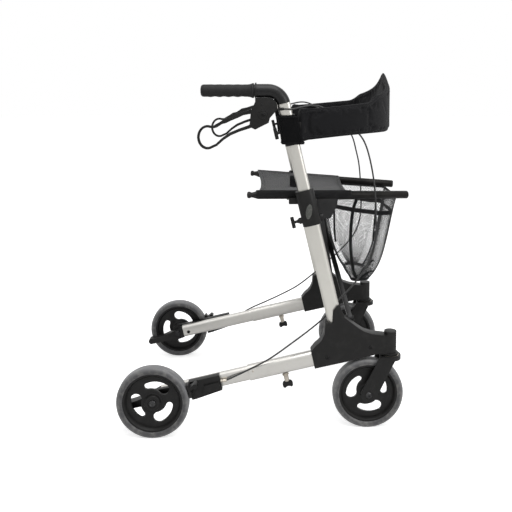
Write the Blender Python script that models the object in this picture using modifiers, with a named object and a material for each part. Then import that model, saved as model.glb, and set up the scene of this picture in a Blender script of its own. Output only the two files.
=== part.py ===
"""Folding four-wheeled rollator with loop brakes, seat, backrest strap and net basket.

The rollator faces +X, its left side is +Y and it stands on Z = 0, with the origin under
the middle of its box. Drawing dimensions along X are taken forward from the rear axle;
place() moves them to the model's origin. Each side has the same parts, so most of them
are made by functions that take side = -1 (right) or +1 (left).
"""

import math

import bmesh
import bpy
from mathutils import Matrix, Vector

# Wheels: 7 1/2 inch, with a tyre on a one-piece rim
WHEEL_R = 0.095
TYRE_W = 0.032
TYRE_SHOULDER = 0.010
RIM_R = 0.079
RIM_EDGE_W = 0.026
RIM_LIP = 0.007
RIM_WEB_W = 0.012
RIM_STEP = 0.002
HUB_R = 0.021
HUB_W = 0.029
WINDOW_REACH = 0.044
WINDOW_HEAD_R = 0.0145
WINDOW_TAIL_R = 0.0085
WINDOW_SWEEP = math.radians(58)
WINDOW_COUNT = 3
REAR_RIM_TURN = {"right": math.radians(50), "left": math.radians(27)}
FRONT_RIM_TURN = math.radians(62)
WHEEL_STEPS = 28
AXLE_R = 0.005
AXLE_HEAD_R = 0.0085
AXLE_HEAD_H = 0.0028

# Plan of the frame
GAP = 0.0003  # between pieces that touch
EDGE = 0.001  # bevel on bolt heads
REAR_WHEEL_Y = 0.275
SIDE_Y = 0.232
FRONT_AXLE_X = 0.570
CASTER_TRAIL = 0.060

# Leg: an oval tube from the rear axle into a sleeve that the front bracket grips
LEG_OVER_WHEEL = 0.0335  # from the front tyre's top up to the leg's axis
LEG_RISE = math.atan2(WHEEL_R + LEG_OVER_WHEEL, FRONT_AXLE_X)
LEG_TALL = 0.039
LEG_WIDE = 0.022
LEG_WALL = 0.0018
LEG_REAR_X = 0.019
LEG_IN_SLEEVE = 0.120
SLEEVE_MOUTH_X = 0.250
SLEEVE_WALL = 0.002
SLEEVE_PLAY = 0.0005
SLEEVE_END_X = FRONT_AXLE_X - 0.0800
BOLT_X = 0.3426
BOLT_R = 0.006
BOLT_LENGTH = 0.0235
WING_SPAN = 0.027
WING_H = 0.018
WING_T = 0.008

# Upright: an oval tube leaning back, with the handle's stalk sliding in it
LEAN = math.radians(13.3)
UPRIGHT_X = FRONT_AXLE_X - 0.1407
UPRIGHT_Z = 0.5100
UPRIGHT_DEEP = 0.040
UPRIGHT_WIDE = 0.022
UPRIGHT_WALL = 0.0018
UPRIGHT_BOTTOM_Z = 0.252
UPRIGHT_TOP_Z = 0.638
STALK_DEEP = 0.034
STALK_PLAY = 0.0004
STALK_WALL = 0.0018
STALK_BOTTOM_Z = 0.455

# Collar on the upright's top, with its clamp knob and the saddle for the seat rail
COLLAR_BOTTOM_Z = 0.553
COLLAR_TOP_Z = 0.6455
COLLAR_WALL = 0.0045
BOSS_R = 0.0085
BOSS_H = 0.007
BOSS_Z = 0.570
KNOB_STEM_R = 0.0032
KNOB_STEM_L = 0.0125
KNOB_BAR_L = 0.031
KNOB_BAR_W = 0.009
KNOB_BAR_T = 0.007
SADDLE_X = (UPRIGHT_X - 0.0713, UPRIGHT_X - 0.0323)
SADDLE_DEEP = 0.0225  # down from the rail's axis
SADDLE_WRAP = 0.006
SADDLE_ROOT = 0.0035  # into the collar

# Front bracket, its caster head and the fork
BRACKET_W = 0.033
HEAD_R = 0.0165
HEAD_TOP_Z = 0.264
HEAD_BOTTOM_Z = 0.2000
FLANGE_R = 0.0215
FLANGE_H = 0.006
STEM_R = 0.008
STEM_L = 0.046
CROWN_R = 0.0285
CROWN_H = 0.0110
FORK_LEG_T = 0.0055
FORK_CLEARANCE = 0.0035
FORK_TOP_W = 0.045
FORK_END_R = 0.0215

# Handle: elbow, grip, brake housing and lever
GRIP_Z = 0.906
GRIP_R = 0.016
GRIP_REAR_X = UPRIGHT_X - 0.3013
GRIP_FRONT_X = UPRIGHT_X - 0.1623
GRIP_FLARE_R = 0.0185
CORE_R = 0.011
ELBOW_R = 0.01725
ELBOW_BOTTOM_Z = GRIP_Z - 0.0325
SPIGOT_L = 0.025
BAND_X = (GRIP_FRONT_X + 0.0020, GRIP_FRONT_X + 0.0060)
BAND_WALL = 0.0030
HOUSING_W = 0.025
LEVER_SLOT_W = 0.0130
LEVER_T = 0.008
LEVER_PIVOT = (UPRIGHT_X - 0.1393, GRIP_Z - 0.0620)
LEVER_PIN_R = 0.0025
CAM_R = 0.0085
CAM_T = 0.0036
CAM_SPACE = 0.0004
LOOP_CENTRE = (LEVER_PIVOT[0] - 0.1450, LEVER_PIVOT[1] - 0.0590)
LOOP_WIDE = 0.0540
LOOP_TALL = 0.0640
LOOP_BAND = 0.0065

# Rear bracket, brake shoe and kerb pedal
PLATE_T = 0.0125
WRAP_X = (0.0940, 0.1755)
WRAP_INSIDE = 0.005  # outwards from the leg's middle
PAD_H = 0.0060
SHOE_GAP = 0.0025
SHOE_T = 0.0065
SHOE_ARC = (math.radians(7), math.radians(27))
SHOE_W = 0.024
SHOE_PIVOT = (0.1100, 0.1375)
SHOE_BOSS_R = 0.0065
SHOE_PIN_R = 0.003
PEDAL_W = 0.020
PEDAL_TIP = (-0.0880, 0.0665)
PEDAL_END_R = 0.009

# Seat rails, cross arms and the parts that hang on them
RAIL_R = 0.011
RAIL_WALL = 0.0016
RAIL_END_R = 0.00825
RAIL_REAR = (UPRIGHT_X - 0.1813, SIDE_Y, 0.633)
RAIL_FRONT = (UPRIGHT_X + 0.2677, 0.109, 0.613)
RAIL_VENT_R = 0.003
BRACE_AHEAD = 0.036  # of the upright's axis
ARM_PIVOT_Y = 0.200
ARM_PIVOT_Z = 0.285
ARM_TOP_Z = 0.565
ARM_W = 0.025
ARM_T = 0.013
ARM_PLAY = 0.0003
PIN_R = 0.004
PIN_HEAD_R = 0.0075
PIN_HEAD_H = 0.003
LUG_T = 0.012
LUG_R = 0.0125
GUSSET_T = 0.012

# Seat, backrest and basket
SEAT_X = (UPRIGHT_X - 0.1463, UPRIGHT_X + 0.1007)
SEAT_SAG = 0.018
SEAT_T = 0.003
STRAP_T = 0.012
STRAP_FRONT_X = UPRIGHT_X + 0.2257
STRAP_BOTTOM_Z = GRIP_Z - 0.1292
STRAP_SIDE_TOP_Z = GRIP_Z - 0.0490
STRAP_TOP_Z = GRIP_Z + 0.0500
CLAMP_Z = GRIP_Z - 0.1030
CLAMP_H = 0.078
CLAMP_WALL = 0.004
CLAMP_NOSE = 0.0187
CLAMP_NOSE_H = 0.030
BASKET_REAR_X = UPRIGHT_X + 0.0427
BASKET_FRONT_X = UPRIGHT_X + 0.2447
BASKET_CORNER = 0.020
BASKET_FLOOR_Z = 0.371
BASKET_T = 0.003

CABLE_R = 0.0023

WHEEL_Z = WHEEL_R
RAIL_RUN = Vector(RAIL_FRONT) - Vector(RAIL_REAR)
RAIL_TIP_X = RAIL_FRONT[0] + RAIL_END_R * math.sqrt(1 - (RAIL_RUN.x / RAIL_RUN.length) ** 2)
ORIGIN_X = (RAIL_TIP_X + PEDAL_TIP[0] - PEDAL_END_R) / 2  # the middle of the box
COLOURS = {
    "tyre": ((0.25, 0.25, 0.26), 0.7, 0.0),
    "moulding": ((0.02, 0.02, 0.022), 0.45, 0.0),
    "tube": ((0.75, 0.74, 0.72), 0.35, 1.0),
    "steel": ((0.55, 0.55, 0.56), 0.3, 1.0),
    "rubber": ((0.025, 0.025, 0.027), 0.8, 0.0),
    "fabric": ((0.03, 0.03, 0.033), 0.9, 0.0),
    "net": ((0.05, 0.05, 0.052), 0.9, 0.0),
    "cable": ((0.015, 0.015, 0.015), 0.4, 0.0),
}


def place(x, y, z):
    """A point given forward of the rear axle, in the model's own frame."""
    return Vector((x - ORIGIN_X, y, z))


def leg_point(x, offset=0.0):
    """(x, z) of a point square to the leg's axis, above it by offset, at x along the axis."""
    return (x - offset * math.sin(LEG_RISE), WHEEL_Z + x * math.tan(LEG_RISE) + offset * math.cos(LEG_RISE))


def upright_point(z, offset=0.0):
    """(x, z) of a point square to the upright's axis, ahead of it by offset, from height z on it."""
    axis_x = UPRIGHT_X - math.tan(LEAN) * (z - UPRIGHT_Z)
    return (axis_x + offset * math.cos(LEAN), z + offset * math.sin(LEAN))


def rail_point(x, side):
    """The seat rail's axis at x, on one side."""
    share = (x - RAIL_REAR[0]) / (RAIL_FRONT[0] - RAIL_REAR[0])
    y = RAIL_REAR[1] + share * (RAIL_FRONT[1] - RAIL_REAR[1])
    z = RAIL_REAR[2] + share * (RAIL_FRONT[2] - RAIL_REAR[2])
    return Vector((x, side * y, z))


def side_frame(y=0.0):
    """Local XY is the drawing plane of an outline in X and Z, and local Z runs across the rollator."""
    return Matrix.Translation((-ORIGIN_X, y, 0)) @ Matrix.Rotation(math.pi / 2, 4, "X")


def across_frame(x, y, z):
    """Local Z runs across the rollator, from a point forward of the rear axle."""
    return Matrix.Translation(place(x, y, z)) @ Matrix.Rotation(math.pi / 2, 4, "X")


def upright_frame(z, side, ahead=0.0):
    """Local Z runs up the upright and local X ahead of it, from height z on its axis."""
    x, height = upright_point(z, ahead)
    return Matrix.Translation(place(x, side * SIDE_Y, height)) @ Matrix.Rotation(-LEAN, 4, "Y")


def leg_frame(x, side, offset=0.0):
    """Local Z runs up along the leg and local X down from it."""
    px, pz = leg_point(x, offset)
    spot = Matrix.Translation(place(px, side * SIDE_Y, pz))
    return spot @ Matrix.Rotation(math.pi / 2 - LEG_RISE, 4, "Y")


def brace_frame():
    """Origin between the cross arms' lower pivots: local X along their axes, local Z up the brace."""
    x, z = upright_point(ARM_PIVOT_Z - BRACE_AHEAD * math.sin(LEAN), BRACE_AHEAD)
    return Matrix.Translation(place(x, 0, z)) @ Matrix.Rotation(-LEAN, 4, "Y")


def aim_frame(start, end):
    """Local Z runs from start to end, points given forward of the rear axle."""
    direction = (Vector(end) - Vector(start)).normalized()
    return Matrix.Translation(place(*start)) @ direction.to_track_quat("Z", "Y").to_matrix().to_4x4()


def arc(centre, radius, start, end, count):
    """Points on an arc, both ends among them."""
    angles = [start + (end - start) * i / count for i in range(count + 1)]
    return [(centre[0] + radius * math.cos(a), centre[1] + radius * math.sin(a)) for a in angles]


def oval(deep, wide, steps=6):
    """A slot shape: deep along X, wide along Y, with half-round ends."""
    r = wide / 2
    half = deep / 2 - r
    front = arc((half, 0), r, -math.pi / 2, math.pi / 2, steps)
    return front + arc((-half, 0), r, math.pi / 2, 3 * math.pi / 2, steps)


def strip(points, widths):
    """The outline of a bar of changing width along a line of points."""
    left = []
    right = []
    for i, point in enumerate(points):
        before = Vector(points[max(i - 1, 0)])
        after = Vector(points[min(i + 1, len(points) - 1)])
        along = (after - before).normalized()
        across = Vector((-along.y, along.x)) * widths[i] / 2
        left.append(tuple(Vector(point) + across))
        right.append(tuple(Vector(point) - across))
    return left + right[::-1]


def smooth_route(points, count):
    """Evenly numbered points on a smooth curve through hand-chosen ones."""
    line = [Vector(p) for p in points]
    line = [2 * line[0] - line[1]] + line + [2 * line[-1] - line[-2]]
    route = []
    spans = len(points) - 1
    for i in range(count + 1):
        at = min(i * spans / count, spans - 1e-9)
        k = int(at)
        t = at - k
        a, b, c, d = line[k:k + 4]
        bend = (2 * a - 5 * b + 4 * c - d) * t * t + (3 * b - a - 3 * c + d) * t * t * t
        route.append((2 * b + (c - a) * t + bend) / 2)
    return route


def flattened(obj):
    """The object's evaluated shape as a plain mesh with its seams closed; the object is removed."""
    bpy.context.view_layer.update()
    mesh = bpy.data.meshes.new_from_object(obj.evaluated_get(bpy.context.evaluated_depsgraph_get()))
    data = obj.data
    bpy.data.objects.remove(obj)
    if isinstance(data, bpy.types.Curve):
        bpy.data.curves.remove(data)
    bm = bmesh.new()
    bm.from_mesh(mesh)
    bmesh.ops.remove_doubles(bm, verts=bm.verts, dist=1e-6)
    bmesh.ops.recalc_face_normals(bm, faces=bm.faces)
    bm.to_mesh(mesh)
    bm.free()
    return mesh


def prism(outlines, thickness):
    """A flat outline, with any holes in it, drawn in XY and centred on its thickness along Z."""
    curve = bpy.data.curves.new("outline", "CURVE")
    curve.dimensions = "2D"
    curve.fill_mode = "BOTH"
    curve.extrude = thickness / 2
    for outline in outlines:
        spline = curve.splines.new("POLY")
        spline.points.add(len(outline) - 1)
        for point, (x, y) in zip(spline.points, outline):
            point.co = (x, y, 0, 1)
        spline.use_cyclic_u = True
    obj = bpy.data.objects.new("outline", curve)
    bpy.context.scene.collection.objects.link(obj)
    return flattened(obj)


def rod(points, radius, resolution):
    """A round bar or cable along points."""
    curve = bpy.data.curves.new("rod", "CURVE")
    curve.dimensions = "3D"
    curve.bevel_depth = radius
    curve.bevel_resolution = resolution
    curve.use_fill_caps = True
    spline = curve.splines.new("POLY")
    spline.points.add(len(points) - 1)
    for point, co in zip(spline.points, points):
        point.co = (*co, 1)
    obj = bpy.data.objects.new("rod", curve)
    bpy.context.scene.collection.objects.link(obj)
    return flattened(obj)


def turned(profile, steps, closed=False):
    """A profile of (radius, height) points turned about Z."""
    mesh = bpy.data.meshes.new("profile")
    edges = [(i, i + 1) for i in range(len(profile) - 1)]
    if closed:
        edges.append((len(profile) - 1, 0))
    mesh.from_pydata([(r, 0, z) for r, z in profile], edges, [])
    obj = bpy.data.objects.new("profile", mesh)
    bpy.context.scene.collection.objects.link(obj)
    screw = obj.modifiers.new("Turn", "SCREW")
    screw.steps = steps
    screw.render_steps = steps
    screw.use_merge_vertices = True
    screw.merge_threshold = 0.00001
    return flattened(obj)


def cylinder(radius, low, high, sides=16):
    """A cylinder about Z between two heights."""
    bm = bmesh.new()
    ends = {"radius1": radius, "radius2": radius}
    bmesh.ops.create_cone(bm, cap_ends=True, segments=sides, depth=high - low, **ends)
    bmesh.ops.translate(bm, verts=bm.verts, vec=(0, 0, (low + high) / 2))
    mesh = bpy.data.meshes.new("cylinder")
    bm.to_mesh(mesh)
    bm.free()
    return mesh


def block(low, high, rounding=0.0):
    """A box between two corners, with its edges rounded."""
    bm = bmesh.new()
    size = Vector(high) - Vector(low)
    bmesh.ops.create_cube(bm, size=1.0)
    bmesh.ops.scale(bm, verts=bm.verts, vec=size)
    bmesh.ops.translate(bm, verts=bm.verts, vec=(Vector(high) + Vector(low)) / 2)
    if rounding:
        bmesh.ops.bevel(bm, geom=bm.edges, offset=rounding, segments=2, profile=0.5, affect="EDGES")
    mesh = bpy.data.meshes.new("block")
    bm.to_mesh(mesh)
    bm.free()
    return mesh


def loft(rings):
    """A closed solid through rings of equal point counts, with flat ends."""
    bm = bmesh.new()
    rows = [[bm.verts.new(co) for co in ring] for ring in rings]
    count = len(rows[0])
    for row, following in zip(rows, rows[1:]):
        for i in range(count):
            j = (i + 1) % count
            bm.faces.new((row[i], row[j], following[j], following[i]))
    bm.faces.new(rows[0][::-1])
    bm.faces.new(rows[-1])
    bmesh.ops.triangulate(bm, faces=bm.faces)
    bmesh.ops.recalc_face_normals(bm, faces=bm.faces)
    mesh = bpy.data.meshes.new("loft")
    bm.to_mesh(mesh)
    bm.free()
    return mesh


def add_part(name, mesh, slot, matrix=None):
    """A named piece of the rollator."""
    mesh.name = name
    mesh.shade_smooth()
    mesh.set_sharp_from_angle(angle=math.radians(35))
    mesh.materials.clear()
    mesh.materials.append(MATERIALS[slot])
    obj = bpy.data.objects.new(name, mesh)
    obj.matrix_world = matrix or Matrix.Translation((-ORIGIN_X, 0, 0))
    PARTS.objects.link(obj)
    return obj


def shape_with(part, operation, mesh, matrix):
    """Join or cut a part with a helper shape, which stays in the cutters' collection."""
    tool = bpy.data.objects.new("cutter", mesh)
    tool.matrix_world = matrix
    tool.hide_render = True
    tool.display_type = "WIRE"
    CUTTERS.objects.link(tool)
    modifier = part.modifiers.new("Shape", "BOOLEAN")
    modifier.operation = operation
    modifier.object = tool


def join(part, mesh, matrix):
    shape_with(part, "UNION", mesh, matrix)


def cut(part, mesh, matrix):
    shape_with(part, "DIFFERENCE", mesh, matrix)


def make_material(slot):
    colour, roughness, metallic = COLOURS[slot]
    material = bpy.data.materials.new(slot)
    material.use_nodes = True
    shader = material.node_tree.nodes["Principled BSDF"]
    shader.inputs["Base Color"].default_value = (*colour, 1)
    shader.inputs["Roughness"].default_value = roughness
    shader.inputs["Metallic"].default_value = metallic
    return material


def make_rim(name, matrix):
    """A one-piece rim: hub, web with three comma-shaped windows, and the tyre's seat."""
    rim_in = RIM_R - RIM_LIP
    hub = HUB_W / 2
    edge = RIM_EDGE_W / 2
    web = RIM_WEB_W / 2
    bore = AXLE_R + GAP
    profile = [
        (bore, hub), (HUB_R - RIM_STEP, hub), (HUB_R, web), (rim_in - RIM_STEP, web), (rim_in, edge),
        (RIM_R, edge), (RIM_R, -edge), (rim_in, -edge), (rim_in - RIM_STEP, -web), (HUB_R, -web),
        (HUB_R - RIM_STEP, -hub), (bore, -hub),
    ]
    rim = add_part(name, turned(profile, WHEEL_STEPS, closed=True), "moulding", matrix)
    for i in range(WINDOW_COUNT):
        turn = Matrix.Rotation(2 * math.pi * i / WINDOW_COUNT, 4, "Z")
        cut(rim, prism([window_outline()], 2 * RIM_WEB_W), matrix @ turn)


def window_outline():
    """A comma: a round head, and a tail that narrows along a circle about the hub."""
    steps = 3
    tail = (WINDOW_REACH * math.cos(WINDOW_SWEEP), WINDOW_REACH * math.sin(WINDOW_SWEEP))
    head = arc((WINDOW_REACH, 0), WINDOW_HEAD_R, -math.pi, 0, 5)
    tip = arc(tail, WINDOW_TAIL_R, WINDOW_SWEEP, WINDOW_SWEEP + math.pi, 4)
    outer = []
    inner = []
    for i in range(1, steps):
        share = i / steps
        half = WINDOW_HEAD_R + share * (WINDOW_TAIL_R - WINDOW_HEAD_R)
        angle = share * WINDOW_SWEEP
        outer.append(((WINDOW_REACH + half) * math.cos(angle), (WINDOW_REACH + half) * math.sin(angle)))
        inner.append(((WINDOW_REACH - half) * math.cos(angle), (WINDOW_REACH - half) * math.sin(angle)))
    return head + outer + tip + inner[::-1]


def make_tyre(name, matrix):
    """A solid tyre with a round shoulder on each side of its tread."""
    half = TYRE_W / 2
    seat = RIM_R + GAP
    profile = [
        (seat, half), (WHEEL_R - TYRE_SHOULDER, half),
        (WHEEL_R - TYRE_SHOULDER * 0.25, half * 0.75), (WHEEL_R, half * 0.35),
    ]
    mirrored = [(r, -z) for r, z in profile[::-1]]
    add_part(name, turned(profile + mirrored, WHEEL_STEPS, closed=True), "tyre", matrix)


def make_axle(name, half, matrix, reach_out=0.0):
    """A bolt with a low round head at each end, reach_out longer on its outer (+Z) end."""
    top = half + reach_out
    profile = [
        (0, top + AXLE_HEAD_H), (AXLE_HEAD_R - EDGE, top + AXLE_HEAD_H),
        (AXLE_HEAD_R, top + AXLE_HEAD_H - EDGE), (AXLE_HEAD_R, top), (AXLE_R, top), (AXLE_R, -half),
        (AXLE_HEAD_R, -half), (AXLE_HEAD_R, -half - AXLE_HEAD_H), (0, -half - AXLE_HEAD_H),
    ]
    add_part(name, turned(profile, 12), "steel", matrix)


def wheel_frame(x, y, side):
    """Local Z points along the axle, away from the rollator's middle."""
    flip = Matrix.Rotation(math.pi, 4, "X") if side > 0 else Matrix.Identity(4)
    return across_frame(x, side * y, WHEEL_Z) @ flip


def make_rear_wheel(name, side):
    matrix = wheel_frame(0, REAR_WHEEL_Y, side)
    make_rim(name + "_rear_rim", matrix @ Matrix.Rotation(REAR_RIM_TURN[name], 4, "Z"))
    make_tyre(name + "_rear_tyre", matrix)
    inner = REAR_WHEEL_Y - (SIDE_Y - LEG_WIDE / 2) + GAP
    outer = HUB_W / 2 + GAP
    make_axle(name + "_rear_axle", inner, matrix, outer - inner)


def fork_offset():
    """From the wheel's middle to the middle of a fork leg."""
    return TYRE_W / 2 + FORK_CLEARANCE + FORK_LEG_T / 2


def make_caster(name, side):
    """The front wheel, its bolt, and the fork that swivels about a vertical stem."""
    matrix = wheel_frame(FRONT_AXLE_X, SIDE_Y, side)
    turn = Matrix.Rotation(FRONT_RIM_TURN, 4, "Z") @ Matrix.Rotation(math.pi, 4, "X")
    make_rim(name + "_front_rim", matrix @ turn)
    make_tyre(name + "_front_tyre", matrix)
    make_axle(name + "_front_axle", fork_offset() + FORK_LEG_T / 2 + GAP, matrix)

    head_x = FRONT_AXLE_X + CASTER_TRAIL
    crown_top = HEAD_BOTTOM_Z - 0.0005
    crown_bottom = crown_top - CROWN_H
    head = Matrix.Translation(place(head_x, side * SIDE_Y, 0))
    fork = add_part(name + "_fork", cylinder(CROWN_R, crown_bottom, crown_top, 24), "moulding", head)
    join(fork, cylinder(STEM_R, crown_top - 0.004, crown_top + STEM_L, 16), head)
    rake = math.atan2(WHEEL_Z - crown_bottom, FRONT_AXLE_X - head_x + FORK_TOP_W / 4)
    end = arc((FRONT_AXLE_X, WHEEL_Z), FORK_END_R, rake + math.pi / 2, rake - math.pi / 2, 10)
    front_x = head_x + CROWN_R / 2
    leg_outline = [(front_x - FORK_TOP_W, crown_top - 0.001), (front_x, crown_top - 0.001)] + end
    for hand in (-1, 1):
        y = side * SIDE_Y + hand * fork_offset()
        join(fork, prism([leg_outline], FORK_LEG_T), side_frame(y))
    cut(fork, cylinder(AXLE_R + GAP, -0.05, 0.05), matrix)


def make_leg(name, side):
    """The leg tube, and the sleeve that it is clamped in by the wing bolt."""
    inner_tall = LEG_TALL - 2 * LEG_WALL
    inner_wide = LEG_WIDE - 2 * LEG_WALL
    leg_top_x = SLEEVE_MOUTH_X + LEG_IN_SLEEVE
    length = (leg_top_x - LEG_REAR_X) / math.cos(LEG_RISE)
    leg = prism([oval(LEG_TALL, LEG_WIDE), oval(inner_tall, inner_wide)], length)
    add_part(name + "_leg_tube", leg, "tube", leg_frame((LEG_REAR_X + leg_top_x) / 2, side))

    outer_tall = LEG_TALL + 2 * (SLEEVE_PLAY + SLEEVE_WALL)
    outer_wide = LEG_WIDE + 2 * (SLEEVE_PLAY + SLEEVE_WALL)
    hole = oval(LEG_TALL + 2 * SLEEVE_PLAY, LEG_WIDE + 2 * SLEEVE_PLAY)
    length = (SLEEVE_END_X - SLEEVE_MOUTH_X) / math.cos(LEG_RISE)
    sleeve = prism([oval(outer_tall, outer_wide), hole], length)
    add_part(name + "_leg_sleeve", sleeve, "tube", leg_frame((SLEEVE_MOUTH_X + SLEEVE_END_X) / 2, side))

    below = leg_frame(BOLT_X, side, -outer_tall / 2 - GAP)
    down = below @ Matrix.Rotation(math.pi / 2, 4, "Y")
    screw = add_part(name + "_wing_screw", cylinder(BOLT_R, 0, BOLT_LENGTH + 0.002), "steel", down)
    low = (-WING_T / 2, -WING_SPAN / 2, BOLT_LENGTH)
    high = (WING_T / 2, WING_SPAN / 2, BOLT_LENGTH + WING_H)
    join(screw, block(low, high, 0.002), down @ Matrix.Rotation(math.pi / 2, 4, "Z"))


def make_upright(name, side):
    """The oval tube, and the collar that clamps the stalk and carries the rail's saddle."""
    inner_deep = UPRIGHT_DEEP - 2 * UPRIGHT_WALL
    inner_wide = UPRIGHT_WIDE - 2 * UPRIGHT_WALL
    length = (UPRIGHT_TOP_Z - UPRIGHT_BOTTOM_Z) / math.cos(LEAN)
    tube = prism([oval(UPRIGHT_DEEP, UPRIGHT_WIDE), oval(inner_deep, inner_wide)], length)
    add_part(name + "_upright", tube, "tube", upright_frame((UPRIGHT_TOP_Z + UPRIGHT_BOTTOM_Z) / 2, side))

    deep = UPRIGHT_DEEP + 2 * (GAP + COLLAR_WALL)
    wide = UPRIGHT_WIDE + 2 * (GAP + COLLAR_WALL)
    length = (COLLAR_TOP_Z - COLLAR_BOTTOM_Z) / math.cos(LEAN)
    middle = upright_frame((COLLAR_TOP_Z + COLLAR_BOTTOM_Z) / 2, side)
    collar = add_part(name + "_collar", prism([oval(deep, wide)], length), "moulding", middle)
    backwards = Matrix.Rotation(-math.pi / 2, 4, "Y")
    boss = upright_frame(BOSS_Z, side) @ backwards
    join(collar, cylinder(BOSS_R, deep / 2 - 0.003, deep / 2 + BOSS_H), boss)
    rail = rail_point(SADDLE_X[0], side)
    near = abs(rail.y) - RAIL_R
    far = SIDE_Y - wide / 2 + SADDLE_ROOT
    low = (SADDLE_X[0], min(side * near, side * far), rail.z - SADDLE_DEEP)
    high = (SADDLE_X[1], max(side * near, side * far), rail.z - SADDLE_WRAP)
    join(collar, block(low, high), Matrix.Translation(place(0, 0, 0)))
    groove = aim_frame(rail_point(RAIL_REAR[0], side), rail_point(RAIL_FRONT[0], side))
    cut(collar, cylinder(RAIL_R + GAP, 0, 0.3, 20), groove)
    hole = prism([oval(UPRIGHT_DEEP + 2 * GAP, UPRIGHT_WIDE + 2 * GAP)], 0.3)
    top = upright_frame(UPRIGHT_TOP_Z, side)
    cut(collar, hole, top @ Matrix.Translation((0, 0, GAP - 0.15)))
    cut(collar, prism([oval(STALK_DEEP + 2 * GAP, stalk_wide() + 2 * GAP)], 0.1), top)
    knob_start = deep / 2 + BOSS_H + GAP
    make_knob(name + "_height_knob", boss @ Matrix.Translation((0, 0, knob_start)))


def make_knob(name, matrix):
    """A clamp screw with a T handle: local Z points out of its boss, and the bar lies along local X."""
    knob = add_part(name, cylinder(KNOB_STEM_R, 0, KNOB_STEM_L + 0.002, 12), "moulding", matrix)
    low = (-KNOB_BAR_L / 2, -KNOB_BAR_W / 2, KNOB_STEM_L)
    high = (KNOB_BAR_L / 2, KNOB_BAR_W / 2, KNOB_STEM_L + KNOB_BAR_T)
    join(knob, block(low, high, 0.0015), matrix)


def stalk_wide():
    return UPRIGHT_WIDE - 2 * (UPRIGHT_WALL + STALK_PLAY)


def make_front_bracket(name, side):
    """The casting that joins sleeve, upright, caster head and the cross arm's lug."""
    head_x = FRONT_AXLE_X + CASTER_TRAIL
    sleeve_half = LEG_TALL / 2 + SLEEVE_PLAY + SLEEVE_WALL
    edge = sleeve_half + 0.0018
    mouth_x = SLEEVE_END_X - 0.0690
    outline = [
        leg_point(mouth_x, -edge), leg_point(mouth_x, edge),
        upright_point(0.2433, -0.0670), upright_point(0.2492, -0.0552), upright_point(0.2560, -0.0457),
        upright_point(0.2689, -0.0358), upright_point(0.2965, -0.0262), upright_point(0.2930, -0.0085),
        upright_point(0.3240, 0.0010), upright_point(0.3340, 0.0150), upright_point(0.3320, 0.0220),
        upright_point(0.2995, 0.0265), upright_point(0.2830, 0.0400),
        (head_x - 0.0880, 0.2769), (head_x - 0.0728, 0.2671), (head_x - 0.0520, 0.2600),
        (head_x - 0.0150, HEAD_TOP_Z - 0.0090), (head_x, HEAD_TOP_Z - 0.0060),
        (head_x, HEAD_BOTTOM_Z + 0.0010), (head_x - 0.0357, HEAD_BOTTOM_Z + 0.0050),
        leg_point(head_x - 0.0640, -edge), leg_point(head_x - 0.1250, -edge - 0.0010),
    ]
    head = Matrix.Translation(place(head_x, side * SIDE_Y, 0))
    plane = side_frame(side * SIDE_Y)
    bracket = add_part(name + "_front_bracket", prism([outline], BRACKET_W), "moulding", plane)
    join(bracket, cylinder(HEAD_R, HEAD_BOTTOM_Z, HEAD_TOP_Z, 20), head)
    join(bracket, cylinder(FLANGE_R, HEAD_BOTTOM_Z - 0.0002, HEAD_BOTTOM_Z + FLANGE_H, 20), head)

    brace = brace_frame()
    arm_y = side * ARM_PIVOT_Y
    root_y = SIDE_Y - BRACKET_W / 2 + 0.003
    lug = arc((0, 0), LUG_R, -math.pi / 2, math.pi / 2, 8)
    root = root_y - ARM_PIVOT_Y
    lug += [(-root, LUG_R + 0.004), (-root, -LUG_R - 0.004)]
    lug = [(y * -side, z) for y, z in lug]
    plane = brace @ Matrix.Translation((arm_plane(side) - (ARM_T + LUG_T) / 2 - GAP, arm_y, 0))
    upright_plane = Matrix(((0, 0, 1, 0), (1, 0, 0, 0), (0, 1, 0, 0), (0, 0, 0, 1)))
    join(bracket, prism([lug], LUG_T), plane @ upright_plane)
    pin_hole = cylinder(PIN_R + GAP, -0.05, 0.05, 16)
    cut(bracket, pin_hole, plane @ Matrix.Rotation(math.pi / 2, 4, "Y"))

    sleeve_wide = LEG_WIDE + 2 * (SLEEVE_PLAY + SLEEVE_WALL + GAP)
    socket = prism([oval(2 * (sleeve_half + GAP), sleeve_wide)], 0.4)
    cut(bracket, socket, leg_frame(SLEEVE_END_X, side) @ Matrix.Translation((0, 0, GAP - 0.2)))
    socket = prism([oval(UPRIGHT_DEEP + 2 * GAP, UPRIGHT_WIDE + 2 * GAP)], 0.4)
    cut(bracket, socket, upright_frame(UPRIGHT_BOTTOM_Z, side) @ Matrix.Translation((0, 0, 0.2 - GAP)))
    cut(bracket, cylinder(STEM_R + GAP, HEAD_BOTTOM_Z - 0.01, HEAD_BOTTOM_Z + STEM_L + 0.001, 16), head)


def arm_plane(side):
    """How far the arm hinged on this side lies ahead of the brace's middle plane."""
    return -side * (ARM_T + ARM_PLAY) / 2


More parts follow.
